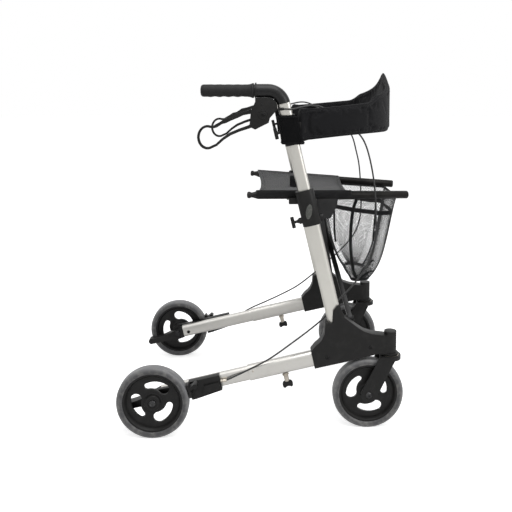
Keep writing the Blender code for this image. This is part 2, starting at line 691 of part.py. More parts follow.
def make_rear_bracket(name, side):
    """The moulding on the leg's end: axle boss, a shell with the brake block, and the kerb pedal."""
    plate_y = bracket_plate_y()
    boss = arc((0, WHEEL_Z), 0.0205, math.radians(105), math.radians(275), 10)
    start, end = WRAP_X
    outline = boss + [
        leg_point(start - 0.0060, -0.0165), leg_point(start + 0.0080, -0.0185),
        leg_point(start + 0.0080, 0.0185), leg_point(start - 0.0060, 0.0165),
    ]
    plane = side_frame(side * plate_y)
    bracket = add_part(name + "_rear_bracket", prism([outline], PLATE_T), "moulding", plane)

    inner = SIDE_Y + WRAP_INSIDE
    edge = LEG_TALL / 2 + 0.0010
    outer = plate_y + PLATE_T / 2 + GAP
    wrap = [
        leg_point(start, -edge - 0.0080), leg_point(start + 0.0120, -edge - 0.0080),
        leg_point(end, -edge), leg_point(end, edge), leg_point(start, edge),
    ]
    join(bracket, prism([wrap], outer - inner), side_frame(side * (inner + outer) / 2))
    pad = [
        leg_point(end - 0.0490, -0.0165), leg_point(end - 0.0030, -0.0165),
        leg_point(end - 0.0030, 0.0040), leg_point(end - 0.0430, 0.0040),
    ]
    join(bracket, prism([pad], 2 * PAD_H), side_frame(side * outer))
    socket = prism([oval(LEG_TALL + 2 * GAP, LEG_WIDE + 2 * GAP)], 0.4)
    cut(bracket, socket, leg_frame(0.2 + LEG_REAR_X, side))
    pin_y = outer - 0.003
    pin = cylinder(SHOE_PIN_R, 0, shoe_y() + SHOE_W / 2 - pin_y, 12)
    outward = Matrix.Rotation(side * -math.pi / 2, 4, "X")
    join(bracket, pin, Matrix.Translation(place(SHOE_PIVOT[0], side * pin_y, SHOE_PIVOT[1])) @ outward)

    back = LEG_REAR_X - GAP
    tip_x, tip_z = PEDAL_TIP
    pedal = [
        leg_point(back, -0.0190), leg_point(back, 0.0165), (-0.0060, 0.1030), (-0.0250, 0.0950),
        (-0.0463, 0.0850), (tip_x + 0.0090, tip_z + 0.0085),
    ]
    pedal += arc(PEDAL_TIP, PEDAL_END_R, math.radians(90), math.radians(270), 6)
    pedal += [(-0.0405, 0.0675), (-0.0180, 0.0700), (0.0030, 0.0740)]
    pedal_inner = SIDE_Y - PEDAL_W / 2
    pedal_outer = plate_y - PLATE_T / 2 + 0.006
    middle = (pedal_inner + pedal_outer) / 2
    join(bracket, prism([pedal], pedal_outer - pedal_inner), side_frame(side * middle))
    plug = prism([oval(LEG_TALL - 2 * LEG_WALL - 0.001, LEG_WIDE - 2 * LEG_WALL - 0.001)], 0.024)
    join(bracket, plug, leg_frame(LEG_REAR_X + 0.004, side))
    cut(bracket, cylinder(AXLE_R + GAP, -0.1, 0.1), wheel_frame(0, SIDE_Y, side))
    cut(bracket, cylinder(AXLE_HEAD_R + GAP, -0.1, 0), wheel_frame(0, SIDE_Y - LEG_WIDE / 2, side))


def bracket_plate_y():
    """The middle of the plate that lies along the leg's outer face."""
    return SIDE_Y + LEG_WIDE / 2 + 2 * GAP + PLATE_T / 2


def shoe_y():
    return REAR_WHEEL_Y


def make_brake_shoe(name, side):
    """A curved pad in front of the tyre, on an arm that pivots on the rear bracket's pin."""
    centre = (0, WHEEL_Z)
    near = WHEEL_R + SHOE_GAP
    pad = arc(centre, near, *SHOE_ARC, 6) + arc(centre, near + SHOE_T, *SHOE_ARC[::-1], 6)
    across = side_frame(side * shoe_y())
    shoe = add_part(name + "_brake_shoe", prism([pad], SHOE_W), "moulding", across)
    foot = near + SHOE_T / 2
    share = SHOE_ARC[1] - 0.12
    start = (foot * math.cos(share), WHEEL_Z + foot * math.sin(share))
    arm = strip([start, SHOE_PIVOT], [SHOE_T, SHOE_T + 0.003])
    join(shoe, prism([arm], SHOE_W - 0.002), across)
    pivot = across_frame(SHOE_PIVOT[0], side * shoe_y(), SHOE_PIVOT[1])
    join(shoe, cylinder(SHOE_BOSS_R, -SHOE_W / 2 + 0.0005, SHOE_W / 2 - 0.0005, 16), pivot)
    cut(shoe, cylinder(SHOE_PIN_R + GAP, -0.05, 0.05, 12), pivot)


def bend_radius():
    """The elbow's bend brings the leaning stalk round to the level grip."""
    return (GRIP_Z - ELBOW_BOTTOM_Z) / (1 - math.sin(LEAN))


def make_handle(name, side):
    """The stalk, the cast elbow with its core for the grip, and the grip's rubber sleeve."""
    wide = stalk_wide()
    hole = oval(STALK_DEEP - 2 * STALK_WALL, wide - 2 * STALK_WALL)
    top_z = ELBOW_BOTTOM_Z - GAP
    length = (top_z - STALK_BOTTOM_Z) / math.cos(LEAN)
    stalk = prism([oval(STALK_DEEP, wide), hole], length)
    add_part(name + "_stalk", stalk, "tube", upright_frame((top_z + STALK_BOTTOM_Z) / 2, side))

    radius = bend_radius()
    start = upright_point(ELBOW_BOTTOM_Z)
    centre = (start[0] - radius * math.cos(LEAN), GRIP_Z - radius)
    bend = arc(centre, radius, LEAN, math.pi / 2, 8)
    points = [start, upright_point(ELBOW_BOTTOM_Z + 0.0015)] + bend[1:] + [(GRIP_FRONT_X + GAP, GRIP_Z)]
    y = side * SIDE_Y
    path = [(px, y, pz) for px, pz in points]
    elbow = add_part(name + "_elbow", rod(path, ELBOW_R, 4), "moulding")
    forward = Matrix.Translation(place(0, y, GRIP_Z)) @ Matrix.Rotation(math.pi / 2, 4, "Y")
    core_rear = GRIP_REAR_X + 0.008
    join(elbow, cylinder(CORE_R, core_rear, GRIP_FRONT_X + 0.010), forward)
    spigot = oval(STALK_DEEP - 2 * STALK_WALL - 0.001, wide - 2 * STALK_WALL - 0.001)
    spigot_frame = upright_frame(ELBOW_BOTTOM_Z - SPIGOT_L / 2 + 0.004, side)
    join(elbow, prism([spigot], SPIGOT_L + 0.01), spigot_frame)

    bore = CORE_R + GAP
    profile = [
        (0, GRIP_REAR_X), (GRIP_R * 0.6, GRIP_REAR_X + 0.0006), (GRIP_R * 0.95, GRIP_REAR_X + 0.004),
        (GRIP_R, GRIP_REAR_X + 0.010), (GRIP_R, GRIP_FRONT_X - 0.020),
        (GRIP_R * 1.03, GRIP_FRONT_X - 0.011), (GRIP_FLARE_R, GRIP_FRONT_X - 0.005),
        (GRIP_FLARE_R, GRIP_FRONT_X), (bore, GRIP_FRONT_X),
        (bore, core_rear - GAP), (0, core_rear - GAP),
    ]
    add_part(name + "_grip", turned(profile, 20), "rubber", forward)


def loop_line(start, end, count):
    """Points along the middle of the lever's loop, between two angles in degrees."""
    angles = [math.radians(start + (end - start) * i / count) for i in range(count + 1)]
    a = (LOOP_WIDE - LOOP_BAND) / 2
    b = (LOOP_TALL - LOOP_BAND) / 2
    return [(LOOP_CENTRE[0] + a * math.cos(t), LOOP_CENTRE[1] + b * math.sin(t)) for t in angles]


def make_brake(name, side):
    """The lever's housing on the elbow, the cable's cam, and the looped lever."""
    y = side * SIDE_Y
    forward = Matrix.Translation(place(0, y, GRIP_Z)) @ Matrix.Rotation(math.pi / 2, 4, "Y")
    ring_in = ELBOW_R + GAP
    ring_out = ring_in + BAND_WALL
    ring = [(ring_out, BAND_X[1]), (ring_out, BAND_X[0]), (ring_in, BAND_X[0]), (ring_in, BAND_X[1])]
    housing = add_part(name + "_brake_housing", turned(ring, 28, closed=True), "moulding", forward)
    radius = bend_radius()
    bend = (upright_point(ELBOW_BOTTOM_Z)[0] - radius * math.cos(LEAN), GRIP_Z - radius)
    inside_bend = radius - ELBOW_R - 0.0006
    under_band = GRIP_Z - ring_in - 0.0004
    pivot_x, pivot_z = LEVER_PIVOT
    outline = [
        (pivot_x - 0.0319, pivot_z + 0.0087), (pivot_x - 0.0341, pivot_z - 0.0149),
        (pivot_x - 0.0362, pivot_z - 0.0314), (pivot_x - 0.0207, pivot_z - 0.0387),
        (pivot_x + 0.0143, pivot_z - 0.0211), (pivot_x + 0.0175, pivot_z - 0.0087),
    ]
    outline += arc(bend, inside_bend, math.radians(-20), math.radians(75), 6)
    outline += [
        (bend[0], under_band), (BAND_X[0] + GAP, under_band), (BAND_X[0] + GAP, under_band - 0.0110),
    ]
    plane = side_frame(y)
    join(housing, prism([outline], HOUSING_W), plane)
    slot = [
        (pivot_x - 0.0500, pivot_z - 0.0500), (pivot_x, pivot_z - 0.0500), (pivot_x + 0.0135, pivot_z - 0.0180),
        (pivot_x + 0.0145, pivot_z + 0.0080), (pivot_x + 0.0080, pivot_z + 0.0180),
        (pivot_x - 0.0200, pivot_z + 0.0280), (pivot_x - 0.0500, pivot_z + 0.0360),
    ]
    cut(housing, prism([slot], LEVER_SLOT_W), plane)
    pivot = across_frame(pivot_x, y, pivot_z)
    join(housing, cylinder(LEVER_PIN_R, -HOUSING_W / 2 + 0.001, HOUSING_W / 2 - 0.001, 12), pivot)

    lever_y = y - side * (LEVER_SLOT_W - LEVER_T - 2 * CAM_SPACE) / 2
    cam_y = y + side * (LEVER_SLOT_W - CAM_T - 2 * CAM_SPACE) / 2
    lever_plane = side_frame(lever_y)
    bend = strip(loop_line(105, 255, 10), [LOOP_BAND] * 11)
    lever = add_part(name + "_brake_lever", prism([bend], LEVER_T), "moulding", lever_plane)
    loop_x, loop_z = LOOP_CENTRE
    lower = loop_line(248, 300, 4) + [
        (loop_x + 0.0230, loop_z - 0.0200), (loop_x + 0.0400, loop_z - 0.0045),
        (loop_x + 0.0588, loop_z + 0.0084), (loop_x + 0.0836, loop_z + 0.0188), (loop_x + 0.1086, loop_z + 0.0271),
        (pivot_x, pivot_z - 0.0040),
    ]
    widths = [LOOP_BAND] * 5 + [0.0065, 0.007, 0.008, 0.008, 0.009, 0.011]
    join(lever, prism([strip(lower, widths)], LEVER_T - 0.0006), lever_plane)
    upper = loop_line(112, 72, 3) + [
        (loop_x + 0.0160, loop_z + 0.0268), (loop_x + 0.0227, loop_z + 0.0295),
        (loop_x + 0.0362, loop_z + 0.0376), (loop_x + 0.0466, loop_z + 0.0425),
        (loop_x + 0.0591, loop_z + 0.0470), (loop_x + 0.0758, loop_z + 0.0560), (loop_x + 0.0921, loop_z + 0.0615),
        (loop_x + 0.1109, loop_z + 0.0665), (pivot_x, pivot_z + 0.0020),
    ]
    widths = [LOOP_BAND] * 4 + [0.007, 0.009, 0.008, 0.012, 0.009, 0.013, 0.009, 0.012, 0.013]
    join(lever, prism([strip(upper, widths)], LEVER_T - 0.0008), lever_plane)
    lever_pivot = across_frame(pivot_x, lever_y, pivot_z)
    join(lever, cylinder(CAM_R, -LEVER_T / 2 + 0.0005, LEVER_T / 2 - 0.0005, 20), lever_pivot)
    cut(lever, cylinder(LEVER_PIN_R + GAP, -0.05, 0.05, 12), lever_pivot)

    cam_outline = arc((pivot_x, pivot_z), CAM_R, math.radians(60), math.radians(330), 14)
    cam_outline += [(pivot_x + 0.0120, pivot_z - 0.0015), (pivot_x + 0.0110, pivot_z + 0.0040)]
    hole = arc(LEVER_PIVOT, LEVER_PIN_R + GAP, 0, 2 * math.pi, 12)[:-1]
    add_part(name + "_brake_cam", prism([cam_outline, hole], CAM_T), "steel", side_frame(cam_y))


def make_seat_rail(name, side):
    """A round tube with closed rounded ends, vented at the rear; it carries the seat's edge."""
    start = rail_point(RAIL_REAR[0], side)
    end = rail_point(RAIL_FRONT[0], side)
    length = (end - start).length
    bore = RAIL_R - RAIL_WALL
    profile = [
        (0, length), (RAIL_END_R, length), (RAIL_R, length - 0.003), (RAIL_R, 0.003), (RAIL_END_R, 0),
        (RAIL_VENT_R, 0), (RAIL_VENT_R, 0.010), (bore, 0.010), (bore, length - 0.006), (0, length - 0.006),
    ]
    add_part(name + "_seat_rail", turned(profile, 16), "tube", aim_frame(start, end))


def rail_crossing(side):
    """Where the seat rail's axis passes through the brace's middle plane."""
    start = rail_point(RAIL_REAR[0], side)
    end = rail_point(RAIL_FRONT[0], side)
    brace = brace_frame().inverted()
    a = brace @ place(*start)
    b = brace @ place(*end)
    return start.lerp(end, a.x / (a.x - b.x))


def make_cross_arm(name, side):
    """A bar from this side's lower pivot up to the other side's rail, with the rail's gusset."""
    brace = brace_frame()
    ahead = arm_plane(side)
    crossing = rail_crossing(-side)
    foot = Vector((side * ARM_PIVOT_Y, 0))
    head = Vector((crossing.y, (ARM_TOP_Z - ARM_PIVOT_Z) / math.cos(LEAN)))
    centre = foot.lerp(head, abs(foot.x) / (abs(foot.x) + abs(head.x)))
    along = (head - foot).normalized()
    turn = math.atan2(along.y, along.x)
    ends = arc(foot, ARM_W / 2, turn + math.pi / 2, turn + 3 * math.pi / 2, 8)
    ends += arc(head, ARM_W / 2, turn - math.pi / 2, turn + math.pi / 2, 8)
    holes = [arc(spot, PIN_R + GAP, 0, 2 * math.pi, 14)[:-1] for spot in (foot, centre)]
    axes = Matrix(((0, 0, 1, 0), (1, 0, 0, 0), (0, 1, 0, 0), (0, 0, 0, 1)))
    plane = brace @ Matrix.Translation((ahead, 0, 0)) @ axes
    arm = add_part(name + "_cross_arm", prism([ends] + holes, ARM_T), "moulding", plane)

    run = (rail_point(RAIL_FRONT[0], -side) - rail_point(RAIL_REAR[0], -side)).normalized()
    level = Matrix.Rotation(math.atan2(run.y, run.x), 4, "Z") @ Matrix.Rotation(math.pi / 2, 4, "X")
    drop = crossing.z - ARM_TOP_Z
    gusset = [
        (-0.0080, -RAIL_R * 0.5), (0.0550, -RAIL_R * 0.5), (0.0520, -0.0330), (0.0330, -drop - 0.0060),
        (0.0040, -drop - 0.0060), (-0.0060, -0.0330),
    ]
    join(arm, prism([gusset], GUSSET_T), Matrix.Translation(place(*crossing)) @ level)
    rail = aim_frame(rail_point(RAIL_REAR[0], -side), rail_point(RAIL_FRONT[0], -side))
    cut(arm, cylinder(RAIL_R + GAP, -0.1, 0.6, 24), rail)

    lug_back = ahead - ARM_T / 2 - GAP - LUG_T
    lower = brace @ Matrix.Translation((0, foot.x, 0))
    make_pin(name + "_lower_pivot", lug_back - GAP, ahead + ARM_T / 2 + GAP, lower)
    if side < 0:
        reach = ARM_T + ARM_PLAY / 2 + GAP
        make_pin("centre_pivot", -reach, reach, brace @ Matrix.Translation((0, centre.x, centre.y)))


def make_pin(name, back, front, matrix):
    """A pivot bolt along local X with a low head at each end."""
    profile = [
        (0, front + PIN_HEAD_H), (PIN_HEAD_R - EDGE, front + PIN_HEAD_H),
        (PIN_HEAD_R, front + PIN_HEAD_H - EDGE), (PIN_HEAD_R, front), (PIN_R, front), (PIN_R, back),
        (PIN_HEAD_R, back), (PIN_HEAD_R, back - PIN_HEAD_H), (0, back - PIN_HEAD_H),
    ]
    add_part(name, turned(profile, 12), "steel", matrix @ Matrix.Rotation(math.pi / 2, 4, "Y"))


def clamp_nose():
    """How far the backrest clamp reaches ahead of the stalk's axis."""
    return STALK_DEEP / 2 + GAP + CLAMP_WALL + CLAMP_NOSE


def make_backrest_clamp(name, side):
    """A ring on the stalk with a nose that holds the backrest, and its clamp knob."""
    deep = STALK_DEEP + 2 * (GAP + CLAMP_WALL)
    wide = stalk_wide() + 2 * (GAP + CLAMP_WALL)
    middle = upright_frame(CLAMP_Z, side)
    hole = oval(STALK_DEEP + 2 * GAP, stalk_wide() + 2 * GAP)
    clamp = add_part(name + "_backrest_clamp", prism([oval(deep, wide), hole], CLAMP_H), "moulding", middle)
    low = (deep / 2 - 0.003, -wide * 0.3, -CLAMP_NOSE_H / 2)
    high = (clamp_nose(), wide * 0.3, CLAMP_NOSE_H / 2)
    join(clamp, block(low, high), middle)
    backwards = Matrix.Rotation(-math.pi / 2, 4, "Y")
    make_knob(name + "_backrest_knob", middle @ backwards @ Matrix.Translation((0, 0, deep / 2 + GAP)))


def strap_edges(along, y):
    """Heights of the strap's edges, at a share of its reach forwards and y across."""
    bottom = STRAP_BOTTOM_Z + 0.0294 * along - 0.0117 * along ** 3
    side_top = STRAP_SIDE_TOP_Z + 0.0240 * max(along, 0) ** 1.2
    middle_top = STRAP_TOP_Z - 0.0720 * (abs(y) / 0.2) ** 0.8
    share = min(max((0.225 - abs(y)) / 0.03, 0), 1)
    return bottom, side_top + (middle_top - side_top) * share * share * (3 - 2 * share)


def make_backrest():
    """A padded strap from stalk to stalk round the front, taller and fuller in its middle."""
    rings = []
    steps = 28
    start_x = upright_point(CLAMP_Z, clamp_nose())[0] + CLAMP_NOSE_H / 2 * math.sin(LEAN) + GAP
    for i in range(steps + 1):
        turn = math.pi * i / steps
        x = start_x + (STRAP_FRONT_X - STRAP_T / 2 - start_x) * abs(math.sin(turn)) ** 0.72
        y = -SIDE_Y * math.copysign(abs(math.cos(turn)) ** 0.62, math.cos(turn))
        rings.append(Vector((x, y)))
    sections = []
    for i, point in enumerate(rings):
        along = (rings[min(i + 1, steps)] - rings[max(i - 1, 0)]).normalized()
        if i in (0, steps):
            along = Vector((1 if i == 0 else -1, 0))
        out = Vector((along.y, -along.x)) * STRAP_T / 2
        bottom, top = strap_edges((point.x - start_x) / (STRAP_FRONT_X - start_x), point.y)
        inner = point - out
        outer = point + out
        sections.append([
            place(inner.x, inner.y, bottom), place(outer.x, outer.y, bottom),
            place(outer.x, outer.y, top), place(inner.x, inner.y, top),
        ])
    add_part("backrest", loft(sections), "fabric", Matrix.Identity(4))


def make_seat():
    """The seat's fabric: over both rails, and sagging between them."""
    sections = []
    step = math.radians(25)
    angles = [math.radians(165) - step * k for k in range(7)]
    inner_r = (RAIL_R + GAP) / math.cos(step / 2)
    run = rail_point(RAIL_FRONT[0], 1) - rail_point(RAIL_REAR[0], 1)
    skew = run.length / run.x
    for i in range(7):
        x = SEAT_X[0] + (SEAT_X[1] - SEAT_X[0]) * i / 6
        lower = []
        upper = []
        for side in (-1, 1):
            rail = rail_point(x, side)
            for radius, row in ((inner_r, lower), (inner_r + SEAT_T, upper)):
                hem = [
                    (rail.y - side * skew * radius * math.cos(a), rail.z + radius * math.sin(a))
                    for a in angles
                ]
                row.extend(hem if side < 0 else hem[::-1])
            if side < 0:
                level = rail.z + RAIL_R - SEAT_SAG
                lower.append((0, level))
                upper.append((0, level + SEAT_T))
        section = lower + upper[::-1]
        sections.append([place(x, y, z) for y, z in section])
    add_part("seat_fabric", loft(sections), "fabric", Matrix.Identity(4))


def basket_ring(rear_x, front_x, rear_y, front_y, z_rear, z_front, inset):
    """Eight corners of the basket at one level, drawn in by inset."""
    corner = BASKET_CORNER
    points = []
    for side in (-1, 1):
        half_rear = rear_y - inset
        half_front = front_y - inset
        row = [
            (rear_x + inset, side * (half_rear - corner), z_rear),
            (rear_x + inset + corner, side * half_rear, z_rear),
            (front_x - inset - corner, side * half_front, z_front),
            (front_x - inset, side * (half_front - corner), z_front),
        ]
        points.extend(row if side < 0 else row[::-1])
    return [place(*p) for p in points]


def make_basket():
    """An open net bag that hangs between the rails' front halves."""
    hem = (RAIL_R + GAP) * math.sin(math.radians(45)) + 0.0004
    rear = rail_point(BASKET_REAR_X + BASKET_CORNER, 1)
    front = rail_point(BASKET_FRONT_X - BASKET_CORNER, 1)
    levels = [
        (BASKET_REAR_X, BASKET_FRONT_X, rear.y - hem, front.y - hem, rear.z - hem, front.z - hem),
        (BASKET_REAR_X + 0.0005, BASKET_FRONT_X - 0.0080, 0.1520, 0.1060, 0.5700, 0.5700),
        (BASKET_REAR_X + 0.0180, BASKET_FRONT_X - 0.0240, 0.1330, 0.1010, 0.4900, 0.4900),
        (BASKET_REAR_X + 0.0325, BASKET_FRONT_X - 0.0360, 0.1130, 0.0960, 0.4300, 0.4300),
        (BASKET_REAR_X + 0.0430, BASKET_FRONT_X - 0.0590, 0.1000, 0.0880, 0.3920, 0.3920),
    ]
    bottom = (BASKET_REAR_X + 0.0510, BASKET_FRONT_X - 0.0780, 0.0920, 0.0820)
    levels.append(bottom + (BASKET_FLOOR_Z - BASKET_T, BASKET_FLOOR_Z - BASKET_T))
    rings = [basket_ring(*level, 0) for level in levels[::-1]]
    rings += [basket_ring(*level, BASKET_T) for level in levels[:-1]]
    floor = levels[-1][:4] + (BASKET_FLOOR_Z, BASKET_FLOOR_Z)
    rings.append(basket_ring(*floor, BASKET_T))
    add_part("basket", loft(rings), "net", Matrix.Identity(4))


def make_cable(name, side, route):
    """A brake cable from the lever's housing, in a loose loop ahead of the side, to the brake block."""
    points = [(x - ORIGIN_X, side * y, z) for x, y, z in smooth_route(route, 36)]
    add_part(name + "_brake_cable", rod(points, CABLE_R, 2), "cable", Matrix.Identity(4))


def cable_ends():
    """The first points beside the stalk and the last ones at the brake block's front face."""
    beside = SIDE_Y + stalk_wide() / 2 + CABLE_R
    exit_x = LEVER_PIVOT[0] + 0.0385
    exit_z = LEVER_PIVOT[1] + 0.0140
    first = [(exit_x, SIDE_Y + 0.0090, exit_z), (exit_x + 0.0120, beside + 0.0012, exit_z + 0.0005)]
    face_x, face_z = leg_point(WRAP_X[1] + 0.0005, 0.0020)
    last_y = bracket_plate_y()
    ahead_x, ahead_z = leg_point(WRAP_X[1] + 0.0195, 0.0020)
    last = [(ahead_x, last_y, ahead_z), (face_x, last_y, face_z)]
    return first, last


def make_cables():
    """Both cables' routes: hand-chosen points ahead of the upright, at shares of the grip's height."""
    first, last = cable_ends()
    right = [
        (-0.0613, 0.2462, 0.9481), (-0.0393, 0.2445, 0.9536), (-0.0143, 0.2350, 0.9581), (0.0107, 0.2215, 0.9536),
        (0.0407, 0.2140, 0.9382), (0.0757, 0.2060, 0.9139), (0.1057, 0.1980, 0.8852), (0.1267, 0.1950, 0.8499),
        (0.1407, 0.1990, 0.7947), (0.1487, 0.2050, 0.7174), (0.1542, 0.2080, 0.6291), (0.1517, 0.2070, 0.5519),
        (0.1307, 0.2060, 0.4857), (0.0997, 0.2070, 0.4249), (0.0637, 0.2100, 0.3797), (0.0267, 0.2170, 0.3510),
        (-0.0143, 0.2300, 0.3079), (-0.0693, 0.2450, 0.2572),
    ]
    left = [
        (-0.0613, 0.2462, 0.9481), (-0.0393, 0.2445, 0.9536), (-0.0143, 0.2350, 0.9581), (0.0107, 0.2215, 0.9536),
        (0.0407, 0.2140, 0.9360), (0.0807, 0.2060, 0.9106), (0.1157, 0.1990, 0.8775), (0.1467, 0.1960, 0.8400),
        (0.1607, 0.2000, 0.7837), (0.1707, 0.2030, 0.7174), (0.1737, 0.2050, 0.5960), (0.1667, 0.2040, 0.5276),
        (0.1467, 0.2050, 0.4746), (0.1057, 0.2070, 0.4272), (0.0637, 0.2100, 0.3797), (0.0207, 0.2180, 0.3234),
        (-0.0293, 0.2330, 0.2759), (-0.0843, 0.2450, 0.2395),
    ]
    right_leg = [(0.3050, 0.2500, 0.1960), (0.2500, 0.2500, 0.1670)]
    left_leg = [(0.2900, 0.2500, 0.1900), (0.2450, 0.2500, 0.1700)]
    right = [(UPRIGHT_X + ahead, y, share * GRIP_Z) for ahead, y, share in right]
    left = [(UPRIGHT_X + ahead, y, share * GRIP_Z) for ahead, y, share in left]
    make_cable("right", -1, first + right + right_leg + last)
    make_cable("left", 1, first + left + left_leg + last)


for old in list(bpy.data.objects):
    bpy.data.objects.remove(old)
PARTS = bpy.data.collections.new("rollator")
CUTTERS = bpy.data.collections.new("cutters")
bpy.context.scene.collection.children.link(PARTS)
bpy.context.scene.collection.children.link(CUTTERS)
MATERIALS = {slot: make_material(slot) for slot in COLOURS}
for side_name, side_sign in (("right", -1), ("left", 1)):
    make_rear_wheel(side_name, side_sign)
    make_caster(side_name, side_sign)
    make_leg(side_name, side_sign)
    make_upright(side_name, side_sign)
    make_front_bracket(side_name, side_sign)
    make_rear_bracket(side_name, side_sign)
    make_brake_shoe(side_name, side_sign)
    make_handle(side_name, side_sign)
    make_brake(side_name, side_sign)
    make_seat_rail(side_name, side_sign)
    make_cross_arm(side_name, side_sign)
    make_backrest_clamp(side_name, side_sign)
make_backrest()
make_seat()
make_basket()
make_cables()
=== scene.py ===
"""The looks of a folding rollator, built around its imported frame: finishes, soft goods and rounded parts.

Drawing sizes along X are taken forward from the rear axle, and at() moves them to the row frame.
The right side is -Y, nearest the camera, and the left side is +Y.
"""

import itertools
import math
import bmesh
import bpy
from mathutils import Matrix, Vector


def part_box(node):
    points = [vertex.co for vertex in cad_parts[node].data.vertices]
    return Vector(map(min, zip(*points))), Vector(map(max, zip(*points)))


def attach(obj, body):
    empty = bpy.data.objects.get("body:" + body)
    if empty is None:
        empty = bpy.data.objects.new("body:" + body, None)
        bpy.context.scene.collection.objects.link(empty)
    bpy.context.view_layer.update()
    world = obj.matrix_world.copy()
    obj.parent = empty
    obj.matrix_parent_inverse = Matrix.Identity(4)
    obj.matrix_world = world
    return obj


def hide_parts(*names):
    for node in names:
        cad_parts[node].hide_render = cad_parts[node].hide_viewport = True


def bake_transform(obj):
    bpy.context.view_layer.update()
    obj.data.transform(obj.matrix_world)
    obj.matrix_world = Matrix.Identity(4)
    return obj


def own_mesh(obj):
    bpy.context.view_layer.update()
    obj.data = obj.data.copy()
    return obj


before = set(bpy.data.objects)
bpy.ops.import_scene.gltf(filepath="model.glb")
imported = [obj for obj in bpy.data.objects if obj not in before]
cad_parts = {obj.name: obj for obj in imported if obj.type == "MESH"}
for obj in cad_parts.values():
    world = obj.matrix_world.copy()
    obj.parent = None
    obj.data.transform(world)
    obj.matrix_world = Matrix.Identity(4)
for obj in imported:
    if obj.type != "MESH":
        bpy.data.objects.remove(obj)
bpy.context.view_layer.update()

# Studio: a pale floor that runs into a white surround, and large soft lamps. The camera stands
# where the photograph was taken from, at handle height and square to the rollator's right side.
IMAGE_PX = 512
FOCAL_PX = 675
CENTRE_PX = (283.2, 147.35)
SENSOR = 36.0
CAMERA_SPOT = (0.2949, -1.989, 0.9086)
CAMERA_DOWN = 4.89
CAMERA_TURN = -1.54
SURROUND_LIGHT = 0.50
FLOOR_GLOW = 0.56
WHITE = (1, 1, 1, 1)
FLOOR_GREY = (0.9, 0.9, 0.9, 1)
rear_low, rear_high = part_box("right_rear_tyre")
AXLE_X = (rear_low[0] + rear_high[0]) / 2


def at(x, y, z):
    """A point forward of the rear axle, in the row frame."""
    return Vector((x + AXLE_X, y, z))


def link(name, data):
    """A new object with this data, in the scene."""
    made = bpy.data.objects.new(name, data)
    bpy.context.collection.objects.link(made)
    return made


def plug(tree, node, **inputs):
    """Sets or links a node's inputs, named with _ for a space, or by _ and a number."""
    for label, value in inputs.items():
        socket = node.inputs[int(label[1:]) if label[1:].isdigit() else label.replace("_", " ")]
        if isinstance(value, bpy.types.Node):
            value = value.outputs[0]
        if isinstance(value, bpy.types.NodeSocket):
            tree.links.new(value, socket)
        else:
            socket.default_value = value


def add_node(tree, kind, settings=(), **inputs):
    """A node with its settings and its inputs."""
    node = tree.nodes.new(kind)
    for label, value in dict(settings).items():
        setattr(node, label, value)
    plug(tree, node, **inputs)
    return node


def new_material(name, **inputs):
    """A material, with its tree and the shader in it."""
    material = bpy.data.materials.new(name)
    material.use_nodes = True
    tree = material.node_tree
    shader = tree.nodes["Principled BSDF"]
    plug(tree, shader, **inputs)
    return material, tree, shader


camera_data = bpy.data.cameras.new("camera")
camera_data.sensor_width = SENSOR
camera_data.lens = SENSOR * FOCAL_PX / IMAGE_PX
camera_data.shift_x = (IMAGE_PX / 2 - CENTRE_PX[0]) / IMAGE_PX
camera_data.shift_y = (CENTRE_PX[1] - IMAGE_PX / 2) / IMAGE_PX
camera_data.clip_end = 100
camera = link("camera", camera_data)
camera.location = at(*CAMERA_SPOT)
camera.rotation_euler = (math.radians(90 - CAMERA_DOWN), 0, math.radians(CAMERA_TURN))
bpy.context.scene.camera = camera
bpy.context.scene.view_settings.view_transform = "Standard"

world = bpy.data.worlds.new("surround")
world.use_nodes = True
sky = world.node_tree
ray = add_node(sky, "ShaderNodeLightPath").outputs
either = {"operation": "MAXIMUM"}
seen = add_node(sky, "ShaderNodeMath", either, _0=ray["Is Camera Ray"], _1=ray["Is Transmission Ray"])
seen_or_mirrored = add_node(sky, "ShaderNodeMath", either, _0=seen, _1=ray["Is Glossy Ray"])
strength = add_node(sky, "ShaderNodeMapRange", Value=seen_or_mirrored, To_Min=SURROUND_LIGHT, To_Max=1)
plug(sky, sky.nodes["Background"], Strength=strength, Color=WHITE)
bpy.context.scene.world = world

for name, spot, size, power in (
    ("top", (0.2, -0.9, 2.9), 2.2, 46),
    ("front", (2.4, -2.1, 1.7), 1.6, 30),
    ("back", (-2.4, 1.6, 1.9), 1.6, 14),
):
    lamp_data = bpy.data.lights.new(name, "AREA")
    lamp_data.size = size
    lamp_data.energy = power
    lamp = link(name, lamp_data)
    lamp.location = spot
    lamp.rotation_euler = (Vector((0, 0, 0.5)) - lamp.location).to_track_quat("-Z", "Y").to_euler()

bm = bmesh.new()
bmesh.ops.create_grid(bm, x_segments=1, y_segments=1, size=20)
floor_mesh = bpy.data.meshes.new("floor")
bm.to_mesh(floor_mesh)
bm.free()
floor_white, tree, shader = new_material(
    "floor_white", Base_Color=FLOOR_GREY, Roughness=0.9, Specular_IOR_Level=0.1, Emission_Color=WHITE
)
ray = add_node(tree, "ShaderNodeLightPath").outputs
glow = add_node(tree, "ShaderNodeMath", {"operation": "MULTIPLY"}, _0=ray["Is Camera Ray"], _1=FLOOR_GLOW)
plug(tree, shader, Emission_Strength=glow)
floor_mesh.materials.append(floor_white)
link("floor", floor_mesh)

